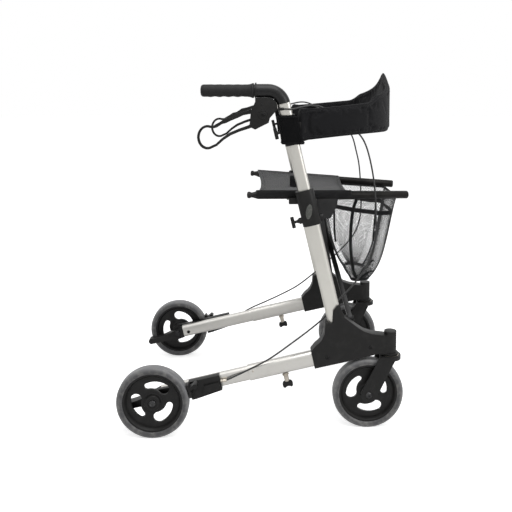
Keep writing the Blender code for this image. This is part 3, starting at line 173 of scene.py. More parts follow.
# Wheels: four solid tyres of grey rubber on one-piece moulded rims, each with three comma-shaped
# windows. The tyres are pressed over the rims' beads; the rear ones turn on bolts in the brackets.
SIDES = (("right", -1), ("left", 1))
REAR_WHEEL_Y = 0.275
SIDE_Y = 0.232
FRONT_AXLE_X = 0.570
WHEEL_R = (rear_high[2] - rear_low[2]) / 2
TYRE_HALF = 0.016
TYRE_SHOULDER = 0.0085
RIM_R = 0.079
RIM_HALF = 0.013
RIM_LIP = 0.0065
WEB_HALF = 0.0048
HUB_R = 0.021
HUB_HALF = 0.0145
BORE_R = 0.0053
WINDOW_REACH = 0.044
WINDOW_HEAD_R = 0.0145
WINDOW_TAIL_R = 0.0085
WINDOW_SWEEP = math.radians(58)
SIDEWALL_R = 0.086
# Painted light: the tread's grey is the rubber as lit from above, and the sidewall's grey is the same
# rubber in painted shade
LIT_TREAD_GREY = (0.165, 0.166, 0.170, 1)
SHADED_SIDEWALL_GREY = (0.058, 0.058, 0.060, 1)
DUST_GREY = (0.36, 0.35, 0.33, 1)
MOULDED_BLACK = (0.0085, 0.0083, 0.0081, 1)
RUBBED_BLACK = (0.026, 0.025, 0.024, 1)


def new_group(kind, name, inputs, outputs):
    """A node group whose sockets are of a named kind, or floats with a default, and its two ends."""
    group = bpy.data.node_groups.new(name, kind + "NodeTree")
    for way, sockets in (("INPUT", inputs), ("OUTPUT", outputs)):
        for label, value in sockets.items():
            typed = value if isinstance(value, str) else "Float"
            socket = group.interface.new_socket(label, in_out=way, socket_type="NodeSocket" + typed)
            if typed != value:
                socket.default_value = value
    return group, group.nodes.new("NodeGroupInput").outputs, group.nodes.new("NodeGroupOutput")


# Handling marks: a mask of cloudy smudges, for a finish that has been used
marks, entry, leave = new_group("Shader", "handling_marks", {"Scale": 40, "Amount": 0.5}, {"Mask": 0})
where = add_node(marks, "ShaderNodeTexCoord").outputs["Object"]
cloud = add_node(marks, "ShaderNodeTexNoise", Vector=where, Scale=entry["Scale"], Detail=5, Roughness=0.65)
smudge = add_node(marks, "ShaderNodeMapRange", Value=cloud, From_Min=0.48, From_Max=0.72)
mark = add_node(marks, "ShaderNodeMath", {"operation": "MULTIPLY"}, _0=smudge, _1=entry["Amount"])
plug(marks, leave, Mask=mark)

# Fine grain: the spark-eroded skin of a moulding, or the skin of moulded rubber
grain, entry, leave = new_group("Shader", "fine_grain", {"Scale": 900, "Depth": 0.2}, {"Normal": "Vector"})
where = add_node(grain, "ShaderNodeTexCoord").outputs["Object"]
pits = add_node(grain, "ShaderNodeTexNoise", Vector=where, Scale=entry["Scale"], Detail=2)
relief = add_node(grain, "ShaderNodeBump", Height=pits, Strength=entry["Depth"], Distance=0.0004)
plug(grain, leave, Normal=relief)


def mixed(tree, share, first, second, way="MIX"):
    """A colour between two, by a share."""
    settings = {"data_type": "RGBA", "blend_type": way}
    return add_node(tree, "ShaderNodeMix", settings, _0=share, _6=first, _7=second).outputs[2]


def finish(name, colour, worn, roughness, metallic=0, marks_scale=40, amount=0.5, pitting=900, gloss=0.5):
    """A surface whose colour goes to its worn colour in the handling marks, with a fine grain."""
    material, tree, shader = new_material(name, Metallic=metallic, Specular_IOR_Level=gloss)
    used = add_node(tree, "ShaderNodeGroup", {"node_tree": marks}, Scale=marks_scale, Amount=amount)
    rough = add_node(tree, "ShaderNodeMapRange", Value=used, To_Min=roughness, To_Max=roughness + 0.22)
    skin = add_node(tree, "ShaderNodeGroup", {"node_tree": grain}, Scale=pitting, Depth=0.2)
    plug(tree, shader, Base_Color=mixed(tree, used, colour, worn), Roughness=rough, Normal=skin)
    return material


def smooth_mesh(bm, name, sharp=38):
    """The finished mesh, with its faces outwards and its edges over some degrees sharp."""
    bmesh.ops.recalc_face_normals(bm, faces=bm.faces)
    mesh = bpy.data.meshes.new(name)
    bm.to_mesh(mesh)
    bm.free()
    mesh.shade_smooth()
    mesh.set_sharp_from_angle(angle=math.radians(sharp))
    return mesh


def closed_mesh(bm, name):
    """The finished mesh of a closed shape, with its doubles merged."""
    bmesh.ops.remove_doubles(bm, verts=bm.verts, dist=0.00001)
    return smooth_mesh(bm, name)


def mm(points, x=0.0, y=0.0):
    """Points given in millimetres from a corner."""
    return [(x + a / 1000, y + b / 1000) for a, b in points]


def both_faces(half):
    """A turned part's outline from the half on one face."""
    return half + [(r, -z) for r, z in half[::-1]]


def arc(centre, radius, start, end, count):
    """Points on an arc, both ends among them."""
    angles = [start + (end - start) * i / count for i in range(count + 1)]
    return [(centre[0] + radius * math.cos(a), centre[1] + radius * math.sin(a)) for a in angles]


def turned(profile, steps, matrix=Matrix.Identity(4), bm=None):
    """Turns (radius, height) points about Z, as a ring or as a solid whose ends lie on the axis."""
    bm = bm or bmesh.new()
    verts = [bm.verts.new((radius, 0, height)) for radius, height in profile]
    edges = [bm.edges.new(pair) for pair in zip(verts, verts[1:])]
    if profile[0][0] > 0:
        edges.append(bm.edges.new((verts[-1], verts[0])))
    bmesh.ops.spin(bm, geom=verts + edges, axis=(0, 0, 1), cent=(0, 0, 0), angle=math.tau, steps=steps)
    made = {v for face in bm.faces for v in face.verts if not face.tag}
    bmesh.ops.transform(bm, matrix=matrix, verts=list(made))
    for face in bm.faces:
        face.tag = True
    return bm


def baked(name, data, tree=None, values=None):
    """The plain mesh of a curve, or of a mesh that a geometry tree grows on."""
    carrier = link(name, data)
    if tree:
        modifier = carrier.modifiers.new("Grow", "NODES")
        modifier.node_group = tree
        for item in tree.interface.items_tree:
            if item.in_out == "INPUT" and item.name in values:
                modifier[item.identifier] = values[item.name]
    bpy.context.view_layer.update()
    mesh = bpy.data.meshes.new_from_object(carrier.evaluated_get(bpy.context.evaluated_depsgraph_get()))
    bpy.data.objects.remove(carrier)
    mesh.name = name
    return mesh


def swept(lines, closed, **settings):
    """The mesh that a curve along lines of points makes."""
    curve = bpy.data.curves.new("line", "CURVE")
    for label, value in settings.items():
        setattr(curve, label, value)
    for line in lines:
        spline = curve.splines.new("POLY")
        spline.points.add(len(line) - 1)
        for point, co in zip(spline.points, line):
            point.co = (*Vector(co).to_3d(), 1)
        spline.use_cyclic_u = closed
    return baked("line", curve)


def plate(outlines, thickness, bevel, matrix, bm=None):
    """A flat plate, with any holes and with bevelled edges, centred on its thickness along Z."""
    edge = {"bevel_depth": bevel, "bevel_resolution": 2, "offset": -bevel}
    flat = swept(outlines, True, dimensions="2D", fill_mode="BOTH", extrude=thickness / 2 - bevel, **edge)
    flat.transform(matrix)
    bm = bm or bmesh.new()
    bm.from_mesh(flat)
    for face in bm.faces:
        face.tag = True
    bpy.data.meshes.remove(flat)
    return bm


def fit(name, shape, material, body, slot, *nodes):
    """Puts a finished piece on its body, if it rides just one, in place of the nodes it stands for."""
    if isinstance(shape, bmesh.types.BMesh):
        shape = closed_mesh(shape, name)
    shape.materials.clear()
    shape.materials.append(material)
    piece = link(name, shape)
    if body:
        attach(piece, body)
    if nodes:
        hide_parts(*nodes)
    return piece


# The tyres are painted darker on their sides than on the tread, as painted shade on the sides and painted
# top light on the tread, by an attribute of their meshes
tyre_rubber = finish("tyre_rubber", LIT_TREAD_GREY, DUST_GREY, 0.46, 0, 55, 0.35, 700)
tree = tyre_rubber.node_tree
lit_tread_share = add_node(tree, "ShaderNodeAttribute", {"attribute_name": "tread"}).outputs["Fac"]
tyre_base = tree.nodes["Principled BSDF"].inputs["Base Color"].links[0].from_node
plug(tree, tyre_base, _6=mixed(tree, lit_tread_share, SHADED_SIDEWALL_GREY, LIT_TREAD_GREY))
black_moulding = finish("black_moulding", MOULDED_BLACK, RUBBED_BLACK, 0.40, amount=0.35, gloss=0.22)
black_bolt = finish("black_bolt", (0.03, 0.03, 0.031, 1), (0.2, 0.2, 0.2, 1), 0.30, 1, amount=0.4)


def window_outline():
    """A comma: a round head, and a tail that narrows along a circle about the hub."""
    steps = 10
    outer = []
    inner = []
    for i in range(1, steps):
        angle = WINDOW_SWEEP * i / steps
        half = WINDOW_HEAD_R + (WINDOW_TAIL_R - WINDOW_HEAD_R) * i / steps
        for edge, radius in ((outer, WINDOW_REACH + half), (inner, WINDOW_REACH - half)):
            edge.append((radius * math.cos(angle), radius * math.sin(angle)))
    tail = (WINDOW_REACH * math.cos(WINDOW_SWEEP), WINDOW_REACH * math.sin(WINDOW_SWEEP))
    head = arc((WINDOW_REACH, 0), WINDOW_HEAD_R, -math.pi, 0, 14)
    return head + outer + arc(tail, WINDOW_TAIL_R, WINDOW_SWEEP, WINDOW_SWEEP + math.pi, 10) + inner[::-1]


def make_wheel(name, holder, spot, side, facing_turn):
    """A tyre and a rim on the axle at spot, and the axle's bolt in its holder; local Z points outwards."""
    flip = Matrix.Rotation(math.pi, 4, "X") if side > 0 else Matrix.Identity(4)
    axle = Matrix.Translation(spot) @ Matrix.Rotation(math.pi / 2, 4, "X") @ flip
    bead = mm([(-0.8, -2.2), (1.0, -0.6), (3.0, 0), (4.2, -0.7), (5.0, 0)], RIM_R, TYRE_HALF)
    shoulder = (WHEEL_R - TYRE_SHOULDER, TYRE_HALF - TYRE_SHOULDER)
    rounding = arc(shoulder, TYRE_SHOULDER, math.pi / 2, 0, 8)
    profile = both_faces(bead + rounding + mm([(-0.2, 2.2), (0, 0.9)], WHEEL_R))
    mesh = closed_mesh(turned(profile, 96, axle), name + "_tyre_tread")
    # Painted light and shade: 0 on the shaded sidewall, rising to 1 on the lit tread
    tread = mesh.attributes.new("tread", "FLOAT", "POINT")
    for vert, share in zip(mesh.vertices, tread.data):
        radius = math.hypot(vert.co.x - spot.x, vert.co.z - spot.z)
        share.value = min(max((radius - SIDEWALL_R) / (WHEEL_R - SIDEWALL_R), 0), 1)
    fit(name + "_tyre_tread", mesh, tyre_rubber, name + "_wheel", "tyre", name + "_tyre")

    rim_in = RIM_R - RIM_LIP
    ring = mm([(-5, -1.5), (-3, 2)], rim_in, WEB_HALF) + mm([(0, -1.2), (1.2, 0)], rim_in, RIM_HALF)
    ring += mm([(-1, 0), (0, -1.4), (-0.6, -6)], RIM_R, RIM_HALF)
    bm = turned(both_faces(ring), 96, axle)
    hub = mm([(6, -1.2), (1, 1.2)], HUB_R, WEB_HALF) + mm([(0, -1.6), (-1.6, 0)], HUB_R, HUB_HALF)
    hub += mm([(6.8, 0), (6, -1.2), (0, -1.2)], BORE_R, HUB_HALF)
    turned(both_faces(hub), 48, axle, bm)
    outlines = [arc((0, 0), rim_in - 0.0020, 0, math.tau, 72)[:-1]]
    outlines.append(arc((0, 0), HUB_R - 0.0060, 0, math.tau, 32)[:-1])
    for i in range(3):
        spin = Matrix.Rotation(i * math.tau / 3, 2)
        outlines.append([tuple(spin @ Vector(p)) for p in window_outline()])
    plate(outlines, 2 * WEB_HALF, 0.0012, axle @ facing_turn, bm)
    fit(name + "_moulded_rim", bm, black_moulding, name + "_wheel", "moulding", name + "_rim")

    low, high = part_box(name + "_axle")
    reach = max(abs(low[1]), abs(high[1])) - abs(spot.y)
    depth = abs(spot.y) - min(abs(low[1]), abs(high[1]))
    head = [(0, -1.8), (2.2, -1.8), (2.6, -0.2), (5.2, -0.2), (7.4, -1), (8.5, -2.4)]
    bolt = mm(head + [(8.5, -2.8), (5, -2.8)], 0, reach)
    bolt += mm([(5, 2.8), (8.5, 2.8), (8.5, 0.6), (7.8, 0), (0, 0)], 0, -depth)
    fit(name + "_axle_bolt", turned(bolt, 32, axle), black_bolt, holder, "steel", name + "_axle")


for side_name, side in SIDES:
    rear = at(0, side * REAR_WHEEL_Y, WHEEL_R)
    rear_turn = Matrix.Rotation(math.radians(50 if side < 0 else 27), 4, "Z")
    make_wheel(side_name + "_rear", side_name + "_frame", rear, side, rear_turn)
    front = at(FRONT_AXLE_X, side * SIDE_Y, WHEEL_R)
    front_turn = Matrix.Rotation(math.radians(62), 4, "Z") @ Matrix.Rotation(math.pi, 4, "X")
    make_wheel(side_name + "_front", side_name + "_caster", front, side, front_turn)

# Casters: moulded forks with a plated bearing cup on the crown. Each swivels on a stem in the front
# bracket's head, and the wheel's bolt goes through the ends of its two legs.
FORK_HEAD_X = FRONT_AXLE_X + 0.060
HEAD_BOTTOM_Z = 0.2000
CUP_R = 0.0238
CUP_BORE_R = 0.0090
plated = finish("plated_steel", (0.50, 0.46, 0.40, 1), (0.30, 0.27, 0.24, 1), 0.28, 1)


def softened(node, width):
    """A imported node's shape with its seams closed and its edges rounded to width."""
    bm = bmesh.new()
    bm.from_mesh(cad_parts[node].data)
    bmesh.ops.remove_doubles(bm, verts=bm.verts, dist=0.00002)
    bmesh.ops.dissolve_limit(bm, angle_limit=math.radians(1.5), verts=bm.verts, edges=bm.edges)
    edges = [e for e in bm.edges if len(e.link_faces) == 2 and e.calc_face_angle(0) > math.radians(32)]
    rounding = {"segments": 3, "profile": 0.5, "affect": "EDGES", "clamp_overlap": True}
    bmesh.ops.bevel(bm, geom=edges, offset=width, **rounding)
    return bm


for side_name, side in SIDES:
    body = side_name + "_caster"
    fork = side_name + "_fork"
    fit(side_name + "_moulded_fork", softened(fork, 0.0012), black_moulding, body, "moulding", fork)
    wall = mm([(-2, -0.2), (0, -1.2), (1, -6.2), (1, -7.2)], CUP_R, HEAD_BOTTOM_Z)
    ends = [(CUP_BORE_R, wall[end][1]) for end in (0, -1)]
    cup = turned(ends[:1] + wall + ends[1:], 64, Matrix.Translation(at(FORK_HEAD_X, side * SIDE_Y, 0)))
    fit(side_name + "_bearing_cup", cup, plated, body, "steel")

# Legs: an oval aluminium tube slides in an oval sleeve, with rubbed satin finishes, so that the
# wheelbase can be set. A wing screw under the sleeve clamps it, and a rivet holds the guide inside.
LEG_RISE = math.atan2(WHEEL_R + 0.0335, FRONT_AXLE_X)
LEG_TALL = 0.039
LEG_WIDE = 0.022
LEG_REAR_X = 0.019
LEG_TOP_X = 0.370
SLEEVE_MOUTH_X = 0.250
SLEEVE_END_X = 0.490
SLEEVE_OVER = 0.0025
WING_X = 0.3426

# Drawn lines: faint streaks along a tube that is tilted in the side view, as on satin aluminium
drawn, entry, leave = new_group("Shader", "drawn_lines", {"Tilt": 0, "Depth": 0.1}, {"Normal": "Vector"})
where = add_node(drawn, "ShaderNodeTexCoord").outputs["Object"]
turning = {"rotation_type": "Y_AXIS"}
laid = add_node(drawn, "ShaderNodeVectorRotate", turning, Vector=where, Angle=entry["Tilt"])
long = add_node(drawn, "ShaderNodeVectorMath", {"operation": "MULTIPLY"}, _0=laid, _1=(14, 1600, 1600))
streak = add_node(drawn, "ShaderNodeTexNoise", Vector=long, Scale=1, Detail=2)
relief = add_node(drawn, "ShaderNodeBump", Height=streak, Strength=entry["Depth"], Distance=0.0002)
plug(drawn, leave, Normal=relief)

# One geometry tree sets a small part on every point of a mesh, turned by the points' own directions
sockets = {"Points": "Geometry", "Part": "Object", "Material": "Material"}
setter, entry, leave = new_group("Geometry", "set_on_points", sockets, {"Geometry": "Geometry"})
directions = {"data_type": "FLOAT_VECTOR"}
named = "GeometryNodeInputNamedAttribute"
aim, along = (add_node(setter, named, directions, Name=label) for label in ("aim", "along"))
stood = add_node(setter, "FunctionNodeAlignRotationToVector", {"axis": "Z"}, Vector=aim)
about_aim = {"axis": "X", "pivot_axis": "Z"}
faced = add_node(setter, "FunctionNodeAlignRotationToVector", about_aim, Rotation=stood, Vector=along)
part = add_node(setter, "GeometryNodeObjectInfo", Object=entry["Part"]).outputs["Geometry"]
spots = {"Points": entry["Points"], "Instance": part, "Rotation": faced}
placed = add_node(setter, "GeometryNodeInstanceOnPoints", **spots)
real = add_node(setter, "GeometryNodeRealizeInstances", Geometry=placed)
painted = add_node(setter, "GeometryNodeSetMaterial", Geometry=real, Material=entry["Material"])
plug(setter, leave, Geometry=painted)


def satin(name, colour, worn, tilt, roughness=0.34):
    """A satin metal tube with handling marks and drawn lines along its length."""
    material = finish(name, colour, worn, roughness, 1, 14, 0.35)
    tree = material.node_tree
    lines = add_node(tree, "ShaderNodeGroup", {"node_tree": drawn}, Tilt=tilt, Depth=0.12)
    plug(tree, tree.nodes["Principled BSDF"], Normal=lines)
    return material


def loft(bm, rows):
    """Faces between closed rows of points."""
    for row, following in zip(rows, rows[1:]):
        for i, vert in enumerate(row):
            j = (i + 1) % len(row)
            bm.faces.new((vert, row[j], following[j], following[i]))


def oval_tube(deep, wide, low, high, matrix, wall=0.0018):
    """An oval tube along Z between two heights, deep along X, with deburred mouths."""
    bm = bmesh.new()
    burr = 0.0004
    rows = []
    for inset, height in (
        (0, low + burr), (0, high - burr), (burr, high), (wall - burr, high),
        (wall, high - burr), (wall, low + burr), (wall - burr, low), (burr, low),
    ):
        r = wide / 2 - inset
        centre = (deep - wide) / 2
        outline = arc((centre, 0), r, -math.pi / 2, math.pi / 2, 14)
        outline += arc((-centre, 0), r, math.pi / 2, 3 * math.pi / 2, 14)
        rows.append([bm.verts.new(matrix @ Vector((x, y, height))) for x, y in outline])
    loft(bm, rows + rows[:1])
    return bm


def leg_frame(x, side, offset=0.0):
    """Local Z runs up along the leg and local X down from it."""
    spot = at(x - offset * math.sin(LEG_RISE), side * SIDE_Y, 0)
    spot.z = WHEEL_R + x * math.tan(LEG_RISE) + offset * math.cos(LEG_RISE)
    return Matrix.Translation(spot) @ Matrix.Rotation(math.pi / 2 - LEG_RISE, 4, "Y")


def wing_stem():
    """A plated sleeve hanging along Z from a washer, for the wing screw's stem."""
    shank = [(0, 24), (5.6, 24), (6.4, 23.2), (6.4, 9), (5.8, 8.4), (5.8, 6)]
    return turned(mm(shank + [(9, 5.6), (9, 3.4), (7.2, 3), (7.2, 0), (0, 0)]), 32)


def wings():
    """The wing screw's moulded head: two rounded wings across X, under the stem."""
    wing = [(-7.2, 22.6), (-11.8, 24.8), (-13.6, 29), (-14, 34), (-13.2, 38.5), (-10.8, 41.1)]
    wing += [(-7.4, 41.2), (-4.8, 39.4), (-1.8, 38.4)]
    outline = mm(wing + [(-x, z) for x, z in wing[::-1]])
    return plate([outline], 0.0080, 0.0022, Matrix.Rotation(math.pi / 2, 4, "X"))


def set_parts(name, spots, part_bm, material, body, slot):
    """Copies of a small part at spots: each a point, the direction it faces and its length's direction."""
    small = link(name + "_one", closed_mesh(part_bm, name + "_one"))
    base = bpy.data.meshes.new(name)
    base.from_pydata([spot[0] for spot in spots], [], [])
    for label, row in (("aim", 1), ("along", 2)):
        layer = base.attributes.new(label, "FLOAT_VECTOR", "POINT")
        layer.data.foreach_set("vector", [c for spot in spots for c in spot[row]])
    mesh = baked(name, base, setter, {"Part": small, "Material": material})
    bpy.data.objects.remove(small)
    return fit(name, mesh, material, body, slot)


def set_screws(name, spots, size, material, body):
    """Low domed screw heads with round recesses, of a radius, height and recess in millimetres."""
    radius, height, recess = size
    dome = [(0, height - recess), (radius * 0.42, height - recess), (radius * 0.50, height)]
    dome += [(radius * 0.80, height * 0.75), (radius, height * 0.15), (radius, -1), (0, -1)]
    set_parts(name, spots, turned(mm(dome), 20), material, body, "steel")


leg_satin = satin("leg_satin", (0.58, 0.568, 0.540, 1), (0.48, 0.465, 0.435, 1), LEG_RISE)
dark_screw = finish("dark_screw", (0.020, 0.020, 0.020, 1), (0.07, 0.07, 0.07, 1), 0.36, 1, amount=0.4)
slant = 1 / math.cos(LEG_RISE)
for side_name, side in SIDES:
    start = leg_frame(0, side)
    body = side_name + "_frame"
    tube = oval_tube(LEG_TALL, LEG_WIDE, LEG_REAR_X * slant, LEG_TOP_X * slant, start)
    fit(side_name + "_leg_oval", tube, leg_satin, body, "tube", side_name + "_leg_tube")
    tall, wide = (size + 2 * SLEEVE_OVER for size in (LEG_TALL, LEG_WIDE))
    tube = oval_tube(tall, wide, SLEEVE_MOUTH_X * slant, SLEEVE_END_X * slant, start, 0.0020)
    fit(side_name + "_sleeve_oval", tube, leg_satin, body, "tube", side_name + "_leg_sleeve")
    down = leg_frame(WING_X, side, -tall / 2) @ Matrix.Rotation(math.pi / 2, 4, "Y")
    screw = side_name + "_wing_screw"
    for word, bm, material, slot in (
        ("_stem", wing_stem(), plated, "steel"), ("_wings", wings(), black_moulding, "moulding"),
    ):
        bmesh.ops.transform(bm, matrix=down, verts=bm.verts)
        fit(screw + word, bm, material, screw, slot, screw)
    outward = Vector((0, side, 0))
    uphill = start.to_3x3() @ Vector((0, 0, 1))
    rivet = leg_frame(SLEEVE_MOUTH_X + 0.012, side) @ Vector((-0.0060, side * wide / 2, 0))
    set_screws(side_name + "_sleeve_rivet", [(rivet, outward, uphill)], (2.6, 0.7, 0.3), plated, body)
    inner = leg_frame(0.0360, side) @ Vector((0.0040, -side * LEG_WIDE / 2, 0))
    set_screws(side_name + "_leg_screw", [(inner, -outward, uphill)], (5.5, 1.6, 1.0), dark_screw, body)

# Uprights and stalks: oval tubes that lean back. The thinner stalk slides in the upright, and the
# brackets and collars grip them.
LEAN = math.radians(13.3)
UPRIGHT_X = 0.4293
UPRIGHT_Z = 0.5100
TUBES = (
    ("upright", "_frame", 0.252, 0.638, 0.040, 0.022), ("stalk", "_handle", 0.455, 0.8732, 0.034, 0.0176),
)


def upright_frame(z, side):
    """Local Z runs up the upright and local X ahead of it, from height z on its axis."""
    x = UPRIGHT_X - math.tan(LEAN) * (z - UPRIGHT_Z)
    return Matrix.Translation(at(x, side * SIDE_Y, z)) @ Matrix.Rotation(-LEAN, 4, "Y")


upright_satin = satin("upright_satin", (0.62, 0.607, 0.565, 1), (0.51, 0.495, 0.455, 1), LEAN - math.pi / 2)
for side_name, side in SIDES:
    for word, body, low, high, deep, wide in TUBES:
        low, high = ((z - UPRIGHT_Z) / math.cos(LEAN) for z in (low, high))
        tube = oval_tube(deep, wide, low, high, upright_frame(UPRIGHT_Z, side))
        name = f"{side_name}_{word}"
        fit(name + "_oval", tube, upright_satin, side_name + body, "tube", name)

# Castings: the front and rear brackets, collars, clamps, brake housings and levers are moulded in
# black nylon with rounded edges. They are screwed to the tubes with dark screws.
T_KNOB_BAR = 0.031
T_KNOB_OUT = 0.0125
T_KNOB_END_R = 0.0045
BRACKET_SCREWS = ((0.4591, 0.1972), (0.5752, 0.2233))
BRACKET_FACE_Y = SIDE_Y + 0.0165
UP = (0, 0, 1)
CASTINGS = (
    ("front_bracket", "frame", 0.0016), ("rear_bracket", "frame", 0.0014), ("collar", "frame", 0.0012),
    ("brake_shoe", "shoe", 0.0009), ("backrest_clamp", "handle", 0.0010),
    ("brake_housing", "handle", 0.0012), ("brake_lever", "lever", 0.0010),
)


def t_knob(matrix):
    """A clamp screw with a rounded bar handle: local Z points out of its boss, the bar lies along X."""
    stem = mm([(0, 1), (4.4, 1), (3.8, -3), (3.4, -6)], 0, T_KNOB_OUT)
    bm = turned(stem + mm([(4.2, 3), (6.2, -1), (6.4, -3.6), (0, -3.6)]), 28, matrix)
    bar = []
    for way, start in ((1, -math.pi / 2), (-1, math.pi / 2)):
        end = (way * (T_KNOB_BAR / 2 - T_KNOB_END_R), 0)
        bar += arc(end, T_KNOB_END_R, start, start + math.pi, 12) + [(0, way * 0.0034)]
    return plate([bar], 0.0096, 0.0020, matrix @ Matrix.Translation((0, 0, T_KNOB_OUT + 0.0022)), bm)


for side_name, side in SIDES:
    for node, body, width in CASTINGS:
        name = f"{side_name}_{node}"
        part = softened(name, width)
        fit(name + "_moulding", part, black_moulding, f"{side_name}_{body}", "moulding", name)
    for node, height in (("height_knob", 0.570), ("backrest_knob", 0.803)):
        name = f"{side_name}_{node}"
        low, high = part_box(name)
        backwards = upright_frame(height, side) @ Matrix.Rotation(-math.pi / 2, 4, "Y")
        reach = (backwards.inverted() @ ((low + high) / 2)).z - (T_KNOB_OUT + 0.0070) / 2
        knob = t_knob(backwards @ Matrix.Translation((0, 0, reach)))
        fit(name + "_bar", knob, black_moulding, name, "moulding", name)
    spots = [(at(x, side * BRACKET_FACE_Y, z), Vector((0, side, 0)), UP) for x, z in BRACKET_SCREWS]
    set_screws(side_name + "_bracket_screws", spots, (6.2, 1.2, 1.0), dark_screw, side_name + "_frame")

# Handles: a black painted elbow on the stalk, a soft rubber grip with finger ridges below, and a
# rivet through the brake housing where the looped lever turns. A cam holds the lever down to park.
GRIP_Z = 0.906
GRIP_R = 0.016
GRIP_X = (0.128, 0.267)
GRIP_SIDES = 56
RIDGE_PITCH = 0.0235
ELBOW_R = 0.01725
ELBOW_BOTTOM_Z = GRIP_Z - 0.0325
LEVER_PIVOT = (0.290, 0.844)
HOUSING_HALF = 0.0125
INK_BLACK = (0.020, 0.019, 0.018, 1)


def tube_along(points, radius, resolution=6):
    """A round tube or cable with flat ends, along points in the row frame."""
    sizes = {"bevel_depth": radius, "bevel_resolution": resolution, "use_fill_caps": True}
    mesh = swept([points], False, dimensions="3D", **sizes)
    bm = bmesh.new()
    bm.from_mesh(mesh)
    bpy.data.meshes.remove(mesh)
    return bm


def grip_skin(spot):
    """A grip along +X from spot: domed at the rear, flanged at the front, ridged along its underside."""
    bm = bmesh.new()
    length = GRIP_X[1] - GRIP_X[0]
    stations = [(0, 0.05), (0.0004, 0.45), (0.0014, 0.72), (0.0034, 0.90), (0.0062, 0.98)]
    stations += [(0.009 + i * (length - 0.029) / 70, 1) for i in range(71)]
    flange = [(-18, 1), (-13, 1.03), (-9, 1.09), (-6.5, 1.15)]
    flange += [(-5.5, 1.2), (-1.2, 1.2), (-0.4, 1.14), (0, 0.75)]
    stations += [(length + x / 1000, share) for x, share in flange]
    rows = []
    for x, share in stations:
        waves = math.sin((x - 0.020) / RIDGE_PITCH * math.tau) if 0.020 < x < length - 0.026 else 0
        row = []
        for k in range(GRIP_SIDES):
            angle = k * math.tau / GRIP_SIDES
            below = 0.3 + 0.7 * max(-math.sin(angle), 0) ** 2
            radius = GRIP_R * share * (1 + 0.05 * waves * below)
            row.append(bm.verts.new(spot + Vector((x, radius * math.cos(angle), radius * math.sin(angle)))))
        rows.append(row)
    loft(bm, rows)
    bm.faces.new(rows[0])
    bm.faces.new(rows[-1])
    return bm


grip_rubber = finish("grip_rubber", (0.006, 0.006, 0.0063, 1), INK_BLACK, 0.62, 0, 40, 0.3, 1400, 0.3)
black_paint = finish("black_paint", (0.005, 0.005, 0.0053, 1), INK_BLACK, 0.34, amount=0.35, gloss=0.3)

# The grip's rubber has rows of small round dimples over its grain
tree = grip_rubber.node_tree
where = add_node(tree, "ShaderNodeTexCoord").outputs["Object"]
regular = {"distance": "EUCLIDEAN", "feature": "F1"}
cells = add_node(tree, "ShaderNodeTexVoronoi", regular, Vector=where, Scale=1 / 0.0026, Randomness=0.15)
cup = add_node(tree, "ShaderNodeMapRange", Value=cells.outputs["Distance"], From_Min=0.10, From_Max=0.38)
shader = tree.nodes["Principled BSDF"]
skin = shader.inputs["Normal"].links[0].from_node
relief = add_node(tree, "ShaderNodeBump", Height=cup, Strength=0.55, Distance=0.0004, Normal=skin)
plug(tree, shader, Normal=relief)

bend_r = (GRIP_Z - ELBOW_BOTTOM_Z) / (1 - math.sin(LEAN))
stalk_x = UPRIGHT_X - math.tan(LEAN) * (ELBOW_BOTTOM_Z - UPRIGHT_Z)
bend = arc((stalk_x - bend_r * math.cos(LEAN), GRIP_Z - bend_r), bend_r, LEAN, math.pi / 2, 28)
for side_name, side in SIDES:
    body = side_name + "_handle"
    y = side * SIDE_Y
    elbow = tube_along([at(x, y, z) for x, z in bend + [(GRIP_X[1] + 0.0003, GRIP_Z)]], ELBOW_R, 10)
    fit(side_name + "_bent_elbow", elbow, black_paint, body, "cast_black", side_name + "_elbow")
    grip = grip_skin(at(GRIP_X[0], y, GRIP_Z))
    fit(side_name + "_rubber_grip", grip, grip_rubber, body, "grip_rubber", side_name + "_grip")
    for word, (x, z), radius in (("pivot", LEVER_PIVOT, 4.6), ("clamp", (0.2862, 0.8700), 3.0)):
        name = f"{side_name}_housing_{word}"
        spots = [(at(x, y + way * HOUSING_HALF, z), Vector((0, way, 0)), UP) for way in (-side, side)]
        set_screws(name, spots, (radius, 1.2, 0.6), dark_screw, body)
    disc = mm([(11.8, 0.8), (11.2, 1.4), (9.8, 1.4), (9.2, 0.6), (7, 0.6), (6.2, 1.2), (5.4, 1.2)])
    disc += mm([(5, -1), (11.8, -1)])
    facing = Matrix.Rotation(-side * math.pi / 2, 4, "X") @ Matrix.Diagonal((1.2, 1, 1, 1))
    spot = Matrix.Translation(at(LEVER_PIVOT[0], y + side * HOUSING_HALF, LEVER_PIVOT[1]))
    fit(side_name + "_housing_disc", turned(disc, 48, spot @ facing), black_moulding, body, "moulding")
    cam = softened(side_name + "_brake_cam", 0.0004)
    fit(side_name + "_steel_cam", cam, plated, side_name + "_cam", "steel", side_name + "_brake_cam")

# Brake cables: black sleeves from the lever housings, in loose loops ahead of the uprights and back
# along the legs to the brake blocks. Each has a barrel at its top and a plated ferrule at its foot.
CABLE_R = 0.0023
CABLE_FROM = [(0.3285, 0.2410, 0.8580), (0.3405, 0.2443, 0.8585)]
CABLE_FOOT = [(0.1950, 0.24985, 0.0020), (0.1760, 0.24985, 0.0020)]
